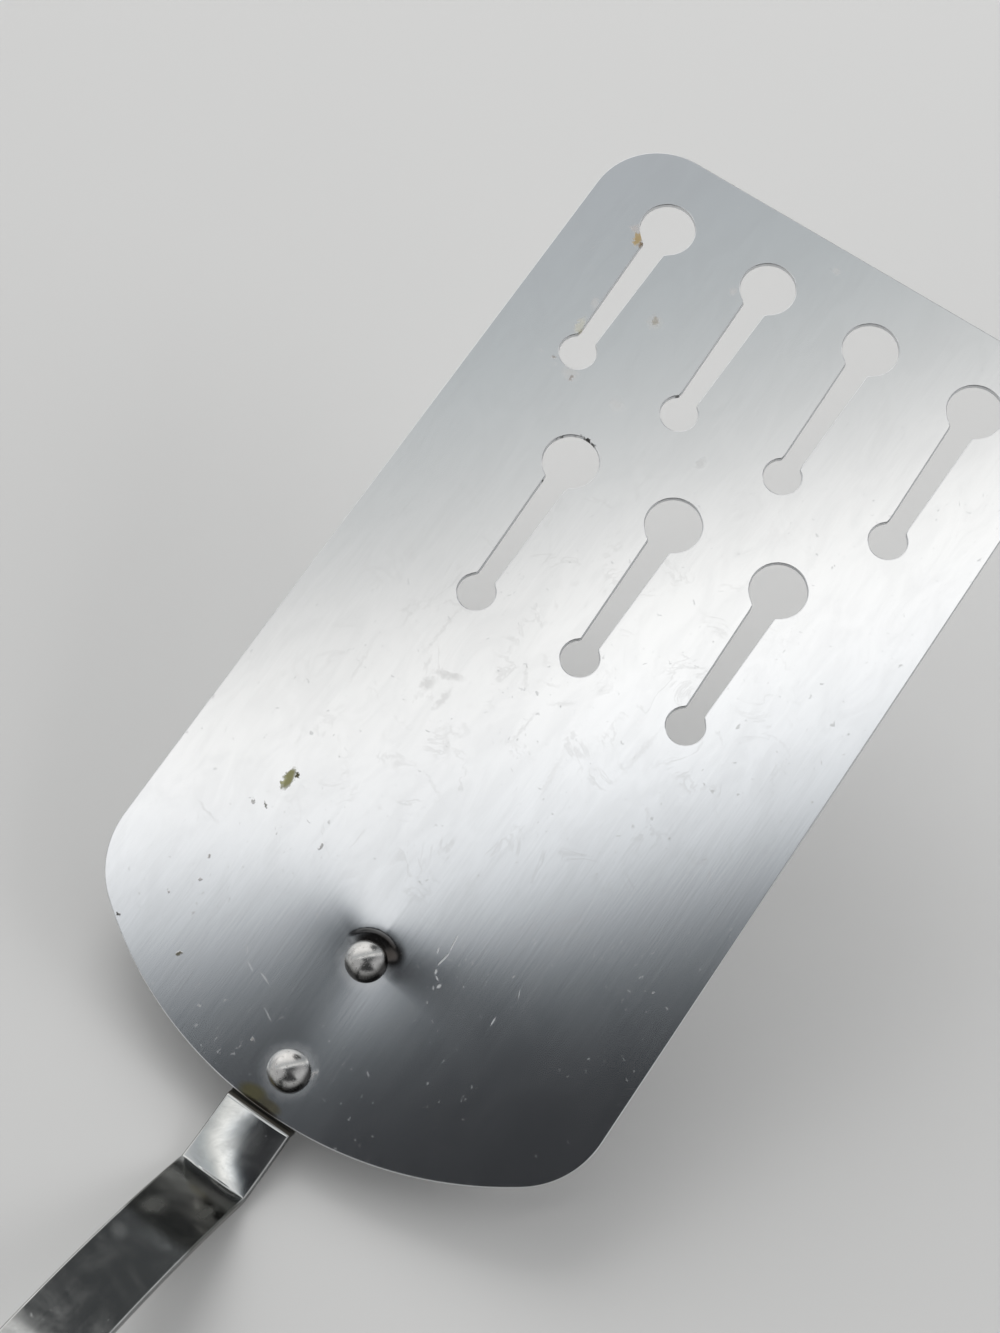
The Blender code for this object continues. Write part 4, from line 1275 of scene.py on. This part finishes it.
def satin_chrome(blade):
    """Satin chrome plate: grain along the blade, wiped smears, specks, dried stains, a few scratches, and
    painted shade in the dent round the front rivet.
    """
    material, tree, shader = new_finish("satin_chrome", 1.0)
    flat = add(tree, 'ShaderNodeUVMap', uv_map="pattern").outputs["UV"]
    cut = attribute(tree, "cut_edge")
    streaks = effect(tree, "Rolling grain", Vector=flat, Stretch=SATIN_GRAIN)
    along = vector_node(tree, 'MULTIPLY', flat, SMEAR_STRETCH)
    smears = effect(tree, "Handling smudges", Vector=along, Scale=9.0)
    specks = effect(tree, "Small pits", Vector=flat, Scale=120.0, Rarity=0.80)

    crumbs = noise(tree, flat, scale=170.0, detail=3.0)
    drift = vector_node(tree, 'SUBTRACT', crumbs["Color"], (0.5, 0.5, 0.5))
    ragged = vector_node(tree, 'ADD', flat, vector_node(tree, 'MULTIPLY', drift, RAGGED))
    uneven = math_node(tree, 'SUBTRACT', crumbs["Fac"], 0.5)

    def patch(place, size, turn, strength, crisp, pattern=ragged):
        """Mark with a broken edge: the crisper it is, the more it is broken and the sooner it is full."""
        spot = mark(tree, pattern, place, size, turn)
        broken = summed(tree, spot, [(uneven, BREAK_LEAST + BREAK_GAIN * crisp)])
        inside = span(tree, spot, 0.0, PATCH_FADE, 0.0, strength)
        return times(tree, span(tree, broken, 0.0, 1.0 - BREAK_GAIN * crisp), inside)

    # Films over the plate; two of them are painted shade in the dent round the front rivet.
    films_and_painted_shade = [(soft_mark(tree, flat, shape, FILM_FADE, strength), 1.0, shade)
             for *shape, shade, strength in FILMS_AND_PAINTED_SHADE]
    stains = [(patch(*shape, strength, crisp), 1.0, shade) for *shape, shade, strength, crisp in STAINS]
    burrs = most(tree, [patch(*shape, strength=0.95, crisp=0.7) for shape in BURRS])
    scored = most(tree, [patch(*shape, crisp=0.3, pattern=flat) for shape in SCRATCHES])
    outlines = effect(tree, "Dried outlines", Vector=flat, Scale=11.0)
    outlines = times(tree, outlines, soft_mark(tree, flat, OUTLINED, FILM_FADE, strength=0.26))
    wiped = most(tree, [*(patch(*shape, crisp=0.3) for shape in SMEARS), outlines])
    dirt = most(tree, [*(stain for stain, share, shade in stains), burrs])
    rings = most(tree, [
        span(tree, mark(tree, ragged, (0.0, row / MM), RIVET_RING, 0.0), *RING_LEVELS)
        for row in (blade.front_rivet, blade.rear_rivet)
    ])

    colour = coated(tree, patchy(tree, smears, blade.colour, factor=0.965), [
        *films_and_painted_shade, (wiped, 0.5, WIPED_SHADE), (specks, 0.10, SPECK_SHADE), (cut, 1.0, CUT_SHADE),
        *stains, (burrs, 1.0, BURR_SHADE),
    ])
    rough = summed(tree, blade.roughness, (
        (smears, 0.012), (streaks, 0.02), (specks, 0.10), (rings, 0.066), (wiped, 0.10), (scored, 0.34),
        (dirt, 0.35), (cut, 0.40),
    ))
    height = summed(tree, streaks, ((scored, -1.5), (dirt, 3.0)))
    join(tree, shader, colour, rough, height, depth=0.0016 * MM)
    tree.links.new(summed(tree, 1.0, [(dirt, -0.85)]), shader.inputs["Metallic"])
    return material


# Painted shade: the strip's upper face from the step forward, in the gap behind the blade's rear edge and
# under the blade, is made dark, matt and not metallic.
GAP_SHADE_EDGE = 0.25 * MM
# Painted dark reflection: a darker band on the strip past the fold.
FOLD_PAINTED_REFLECTION = ((0.0, -18.6), (16.0, 8.2), 0.0)
FOLD_PAINTED_REFLECTION_FADE = 0.3
SMEAR_FADE = 0.8
STRIP_SMEARS = (
    # place x, y on the strip's flat pattern and half sizes in mm, turn in degrees, strength
    ((-2.4, -22.0), (1.9, 3.2), -12.0, 0.6),
    ((2.9, -17.6), (1.1, 3.0), -10.0, 0.5),
    ((-2.9, -29.0), (1.6, 2.2), 20.0, 0.3),
)
# Nearly black on the strip's rounded edges: painted shade that takes away their highlights.
STRIP_EDGE_PAINTED_SHADE = (0.07, 0.07, 0.07)
FOLD_PAINTED_REFLECTION_COLOUR = (0.10, 0.10, 0.085)
GAP_SHADE_COLOUR = (0.035, 0.032, 0.026)


def bright_chrome(shank):
    """Bright chrome plate: near a mirror, slightly wavy, with wiped patches and fine specks; painted shade
    on its edges and under the blade's rear edge, and a painted dark reflection past the fold.
    """
    material, tree, shader = new_finish("bright_chrome", 1.0)
    flat = add(tree, 'ShaderNodeUVMap', uv_map="pattern").outputs["UV"]
    patches, specks, streaks = wear(
        tree, flat, smudges=17.0, pits=160.0, rarity=0.82, stretch=(300.0, 9.0, 1.0)
    )
    # Painted dark reflection on the strip past the fold.
    fold_painted_reflection = soft_mark(tree, flat, FOLD_PAINTED_REFLECTION, FOLD_PAINTED_REFLECTION_FADE, strength=0.76)
    along = add(tree, 'ShaderNodeSeparateXYZ', {0: flat}).outputs["Y"]
    # Painted shade in the gap between the blade's rear edge and the step, and under the blade.
    start = (GAP_SHADE_EDGE - shank.step_place - shank.step_width) * PATTERN_SCALE
    gap_shade = span(tree, along, start, start + GAP_SHADE_EDGE * PATTERN_SCALE)
    gap_shade = times(tree, gap_shade, attribute(tree, "upper_face"))
    smears = most(tree, [soft_mark(tree, flat, shape, SMEAR_FADE, strength)
                         for *shape, strength in STRIP_SMEARS])

    colour = coated(tree, patchy(tree, patches, shank.colour, factor=0.80), (
        (attribute(tree, "cut_edge"), 0.95, STRIP_EDGE_PAINTED_SHADE), (fold_painted_reflection, 1.0, FOLD_PAINTED_REFLECTION_COLOUR),
        (gap_shade, 1.0, GAP_SHADE_COLOUR),
    ))
    rough = summed(tree, shank.roughness, (
        (patches, 0.10), (smears, 0.30), (streaks, 0.05), (specks, 0.15), (gap_shade, 0.5),
    ))
    height = summed(tree, noise(tree, flat, scale=14.0, detail=1.5)["Fac"], [(streaks, 0.004)])
    join(tree, shader, colour, rough, height, depth=0.12 * MM)
    tree.links.new(summed(tree, 1.0, [(gap_shade, -1.0)]), shader.inputs["Metallic"])
    return material


PIT_SHADE = (0.22, 0.21, 0.20)
FOOT_DIRT_AND_PAINTED_SHADE = (0.035, 0.033, 0.031)


def rivet_steel(rivet):
    """Plain steel, closed with a hammer: satin, with fine pits, worn patches, dirt at its foot, and painted
    shade up the side of each head turned from the light.
    """
    material, tree, shader = new_finish("rivet_steel", 1.0)
    place = add(tree, 'ShaderNodeTexCoord').outputs["Object"]
    patches = effect(tree, "Handling smudges", Vector=place, Scale=620.0)
    specks = effect(tree, "Small pits", Vector=place, Scale=2600.0, Rarity=0.74)
    # The foot mask darkens the head: dirt at its foot, and painted shade on its side turned from the light.
    colour = coated(tree, patchy(tree, patches, rivet.colour, factor=0.90), (
        (specks, 0.3, PIT_SHADE), (attribute(tree, "foot"), 0.92, FOOT_DIRT_AND_PAINTED_SHADE),
    ))
    rough = summed(tree, rivet.roughness, ((patches, 0.06), (specks, 0.15)))
    height = summed(tree, noise(tree, place, scale=1500.0, detail=3.0)["Fac"], [(specks, -0.5)])
    join(tree, shader, colour, rough, height, depth=0.015 * MM)
    return material


FLECK_SHADE = (0.09, 0.085, 0.08)


def black_moulding(handle):
    """Moulded black plastic: fine skin, faint flow marks and duller patches from the hand."""
    material, tree, shader = new_finish("black_moulding", 0.0)
    place = add(tree, 'ShaderNodeTexCoord').outputs["Object"]
    patches, specks, flow = wear(
        tree, place, smudges=70.0, pits=1100.0, rarity=0.80, stretch=(420.0, 22.0, 420.0)
    )
    colour = coated(tree, patchy(tree, patches, handle.colour, factor=1.9), [(specks, 0.5, FLECK_SHADE)])
    rough = summed(tree, handle.roughness, ((patches, 0.16), (flow, 0.06), (specks, 0.15)))
    height = summed(tree, noise(tree, place, scale=1700.0, detail=2.0)["Fac"], [(specks, -0.8)])
    join(tree, shader, colour, rough, height, depth=0.02 * MM)
    return material


def nickel_plate(handle):
    """Nickel plate on handle rivets and eyelet: satin, with fine scuffs."""
    material = bpy.data.materials.get("nickel_plate")
    if material:
        return material
    material, tree, shader = new_finish("nickel_plate", 1.0)
    place = add(tree, 'ShaderNodeTexCoord').outputs["Object"]
    patches, specks, scuffs = wear(
        tree, place, smudges=300.0, pits=1800.0, rarity=0.78, stretch=(5200.0, 600.0, 5200.0)
    )
    colour = patchy(tree, patches, handle.nickel, factor=0.85)
    rough = summed(tree, handle.nickel_roughness, ((patches, 0.10), (scuffs, 0.08), (specks, 0.2)))
    height = summed(tree, scuffs, [(specks, -1.0)])
    join(tree, shader, colour, rough, height, depth=0.006 * MM)
    return material


# Stage

FLOOR_REACH = 3.0
FLOOR_ROUGHNESS = 0.85
SOFTBOXES = (
    # name, place, size and power
    ("key_softbox", (-0.75, 0.95, 0.75), 0.9, 9.5),
    ("side_softbox", (0.95, 0.75, 0.65), 0.7, 4.0),
)
LAMP_AIM = (0.0, 0.05, 0.0)
NEAREST_VIEW = 0.01
SKY_TURN = (-0.74, 0.628, 0.233)
SKY_STOPS = (
    # how far a direction leans to the light, and the light from there
    (-1.00, (0.36, 0.36, 0.36)),
    (-0.60, (0.24, 0.24, 0.24)),
    (-0.45, (0.16, 0.16, 0.16)),
    (-0.20, (0.13, 0.13, 0.135)),
    (-0.12, (0.085, 0.086, 0.089)),
    (-0.05, (0.034, 0.035, 0.037)),
    (0.00, (0.028, 0.029, 0.031)),
    (0.094, (0.030, 0.031, 0.034)),
    (0.124, (0.050, 0.055, 0.060)),
    (0.154, (0.123, 0.135, 0.145)),
    (0.174, (0.285, 0.307, 0.328)),
    (0.204, (0.78, 0.80, 0.82)),
    (0.235, (1.14, 1.15, 1.16)),
    (0.27, (1.29, 1.27, 1.25)),
    (0.30, (1.28, 1.26, 1.22)),
    (0.33, (1.01, 0.99, 0.965)),
    (0.36, (0.73, 0.73, 0.715)),
    (0.42, (0.52, 0.545, 0.55)),
    (0.48, (0.46, 0.48, 0.50)),
    (0.55, (0.60, 0.61, 0.62)),
    (0.65, (0.78, 0.78, 0.77)),
    (0.75, (1.06, 1.05, 1.03)),
    (0.85, (1.21, 1.19, 1.17)),
    (1.00, (1.25, 1.23, 1.20)),
)
HORIZON = (0.05, 0.25)
HORIZON_LIGHT = (0.56, 0.56, 0.56)
PANEL_SIDE = (0.22, 0.88)
PANEL_LIGHT = (0.60, 0.60, 0.605)
BACK_SIDE = (-0.16, 0.10)
BACK_AHEAD = (-0.58, -0.42)
BACK_LIGHT = (0.52, 0.52, 0.52)
SHADE_TURN = (0.582, -0.762, -0.283)
SHADE_SPAN = (0.10, 0.30)
SHADE_FOOT = (0.06, 0.20)
SHADE_AHEAD = (-0.45, -0.25)
SHADE = (0.042, 0.042, 0.043)
FLAG_MIDDLE = -0.13
FLAG_SIDES = (0.12, 0.30)
FLAG_TOP = (0.70, 0.80)
FLAG = (0.055, 0.058, 0.060)


def sky(scene):
    """Studio light all round, by direction.

    A run of tones with a bright band follows the lean to one side. Over it lie, in turn, a panel at the
    side, a pale horizon, a shaded part, a panel behind and a dark flag ahead.
    """
    world = bpy.data.worlds.new("studio")
    world.use_nodes = True
    tree = world.node_tree
    heading = add(tree, 'ShaderNodeTexCoord').outputs["Generated"]
    side, ahead, up = add(tree, 'ShaderNodeSeparateXYZ', {0: heading}).outputs
    lean = vector_node(tree, 'DOT_PRODUCT', heading, SKY_TURN)
    ramp = add(tree, 'ShaderNodeValToRGB', {"Fac": math_node(tree, 'MULTIPLY_ADD', lean, 0.5, 0.5)})
    stops = ramp.color_ramp.elements
    while len(stops) > 1:
        stops.remove(stops[-1])
    for i, (place, light) in enumerate(SKY_STOPS):
        stop = stops[0] if i == 0 else stops.new((place + 1.0) / 2.0)
        stop.position = (place + 1.0) / 2.0
        stop.color = (*light, 1.0)

    panel = span(tree, side, *PANEL_SIDE)
    horizon = fall(tree, up, *HORIZON)
    behind = span(tree, vector_node(tree, 'DOT_PRODUCT', heading, SHADE_TURN), *SHADE_SPAN)
    shade = times(tree, behind, span(tree, up, *SHADE_FOOT))
    shade = times(tree, shade, fall(tree, ahead, *SHADE_AHEAD))
    back = times(tree, fall(tree, side, *BACK_SIDE), fall(tree, ahead, *BACK_AHEAD))
    off = math_node(tree, 'ABSOLUTE', math_node(tree, 'SUBTRACT', side, FLAG_MIDDLE))
    flag = times(tree, fall(tree, off, *FLAG_SIDES), span(tree, ahead, *FLAG_TOP))
    light = coated(tree, ramp.outputs["Color"], (
        (panel, 1.0, PANEL_LIGHT), (horizon, 1.0, HORIZON_LIGHT), (shade, 1.0, SHADE),
        (back, 1.0, BACK_LIGHT), (flag, 1.0, FLAG),
    ))
    tree.links.new(light, tree.nodes["Background"].inputs["Color"])
    scene.world = world


def soft_lamp(name, place, size, power):
    """Square softbox that looks at the turner and isn't mirrored in it."""
    lamp = bpy.data.lights.new(name, 'AREA')
    lamp.size = size
    lamp.energy = power
    softbox = bpy.data.objects.new(name, lamp)
    softbox.location = place
    softbox.rotation_euler = (Vector(LAMP_AIM) - Vector(place)).to_track_quat('-Z', 'Y').to_euler()
    softbox.visible_glossy = False
    bpy.context.scene.collection.objects.link(softbox)


def photograph_camera(stage):
    """Camera at the photograph's viewing angle, from its place and aim in the blade's axes."""
    origin, axes = axes_at("blade_face")
    place, aim = placed(np.array([stage.place, stage.aim]), (origin, axes))
    back = unit(place - aim)
    upright = unit(axes[1] - back * (axes[1] @ back))
    right = np.cross(upright, back)
    up = upright * math.cos(stage.lean) - right * math.sin(stage.lean)
    right = np.cross(up, back)
    view = bpy.data.cameras.new("photograph")
    view.sensor_fit = 'VERTICAL'
    view.angle_y = stage.field
    view.clip_start = NEAREST_VIEW
    camera = bpy.data.objects.new("photograph", view)
    turn = np.eye(4)
    turn[:3, :3] = np.stack([right, up, back], axis=1)
    turn[:3, 3] = place
    camera.matrix_world = Matrix(turn.tolist())
    bpy.context.scene.collection.objects.link(camera)
    bpy.context.scene.camera = camera


class TURNER_OT_stage(bpy.types.Operator):
    """Stage: a plain pale floor, soft studio light and a camera at the photograph's viewing angle"""
    bl_idname = "turner.stage"
    bl_label = "Stage"

    def execute(self, context):
        scene = context.scene
        stage = scene.turner_stage
        scene.view_settings.view_transform = 'Standard'
        corner = np.array([[-1.0, -1.0], [1.0, -1.0], [1.0, 1.0], [-1.0, 1.0]]) * FLOOR_REACH
        mesh = new_mesh("floor", np.column_stack([corner, np.zeros(4)]), [np.array([[0, 1, 2, 3]])])
        floor = bpy.data.objects.new("floor", mesh)
        scene.collection.objects.link(floor)
        material, tree, shader = new_finish("pale_floor", 0.0)
        shader.inputs["Base Color"].default_value = (*stage.floor, 1.0)
        shader.inputs["Roughness"].default_value = FLOOR_ROUGHNESS
        mesh.materials.append(material)
        sky(scene)
        for softbox in SOFTBOXES:
            soft_lamp(*softbox)
        photograph_camera(stage)
        return {'FINISHED'}


# Add-on

class VIEW3D_PT_turner(bpy.types.Panel):
    """Settings and makers of the slotted turner"""
    bl_idname = "VIEW3D_PT_turner"
    bl_label = "Slotted Turner"
    bl_space_type = 'VIEW_3D'
    bl_region_type = 'UI'
    bl_category = "Turner"

    def draw(self, context):
        for name in SETTINGS:
            group = getattr(context.scene, name)
            box = self.layout.box()
            box.label(text=name.replace("turner_", "").capitalize())
            for setting in group.bl_rna.properties.keys():
                if setting not in {"rna_type", "name"}:
                    box.prop(group, setting)
        for operator in OPERATORS:
            self.layout.operator(operator.bl_idname)


SETTINGS = {
    "turner_blade": BladeSettings,
    "turner_shank": ShankSettings,
    "turner_rivets": RivetSettings,
    "turner_handle": HandleSettings,
    "turner_stage": StageSettings,
}
OPERATORS = (
    TURNER_OT_blade,
    TURNER_OT_shank,
    TURNER_OT_blade_rivets,
    TURNER_OT_handle,
    TURNER_OT_handle_rivets,
    TURNER_OT_eyelet,
    TURNER_OT_stage,
)


def register():
    """Adds the settings, the operators and the panel."""
    for name, group in SETTINGS.items():
        bpy.utils.register_class(group)
        setattr(bpy.types.Scene, name, bpy.props.PointerProperty(type=group))
    for each in (*OPERATORS, VIEW3D_PT_turner):
        bpy.utils.register_class(each)


def unregister():
    """Takes them away again, last first."""
    for each in (VIEW3D_PT_turner, *reversed(OPERATORS)):
        bpy.utils.unregister_class(each)
    for name, group in reversed(SETTINGS.items()):
        delattr(bpy.types.Scene, name)
        bpy.utils.unregister_class(group)


def main():
    """Builds the turner piece by piece, then the stage."""
    register()
    bpy.ops.turner.blade()
    bpy.ops.turner.shank()
    bpy.ops.turner.blade_rivets()
    bpy.ops.turner.handle()
    bpy.ops.turner.handle_rivets()
    bpy.ops.turner.eyelet()
    bpy.ops.turner.stage()


if __name__ == "__main__":
    main()
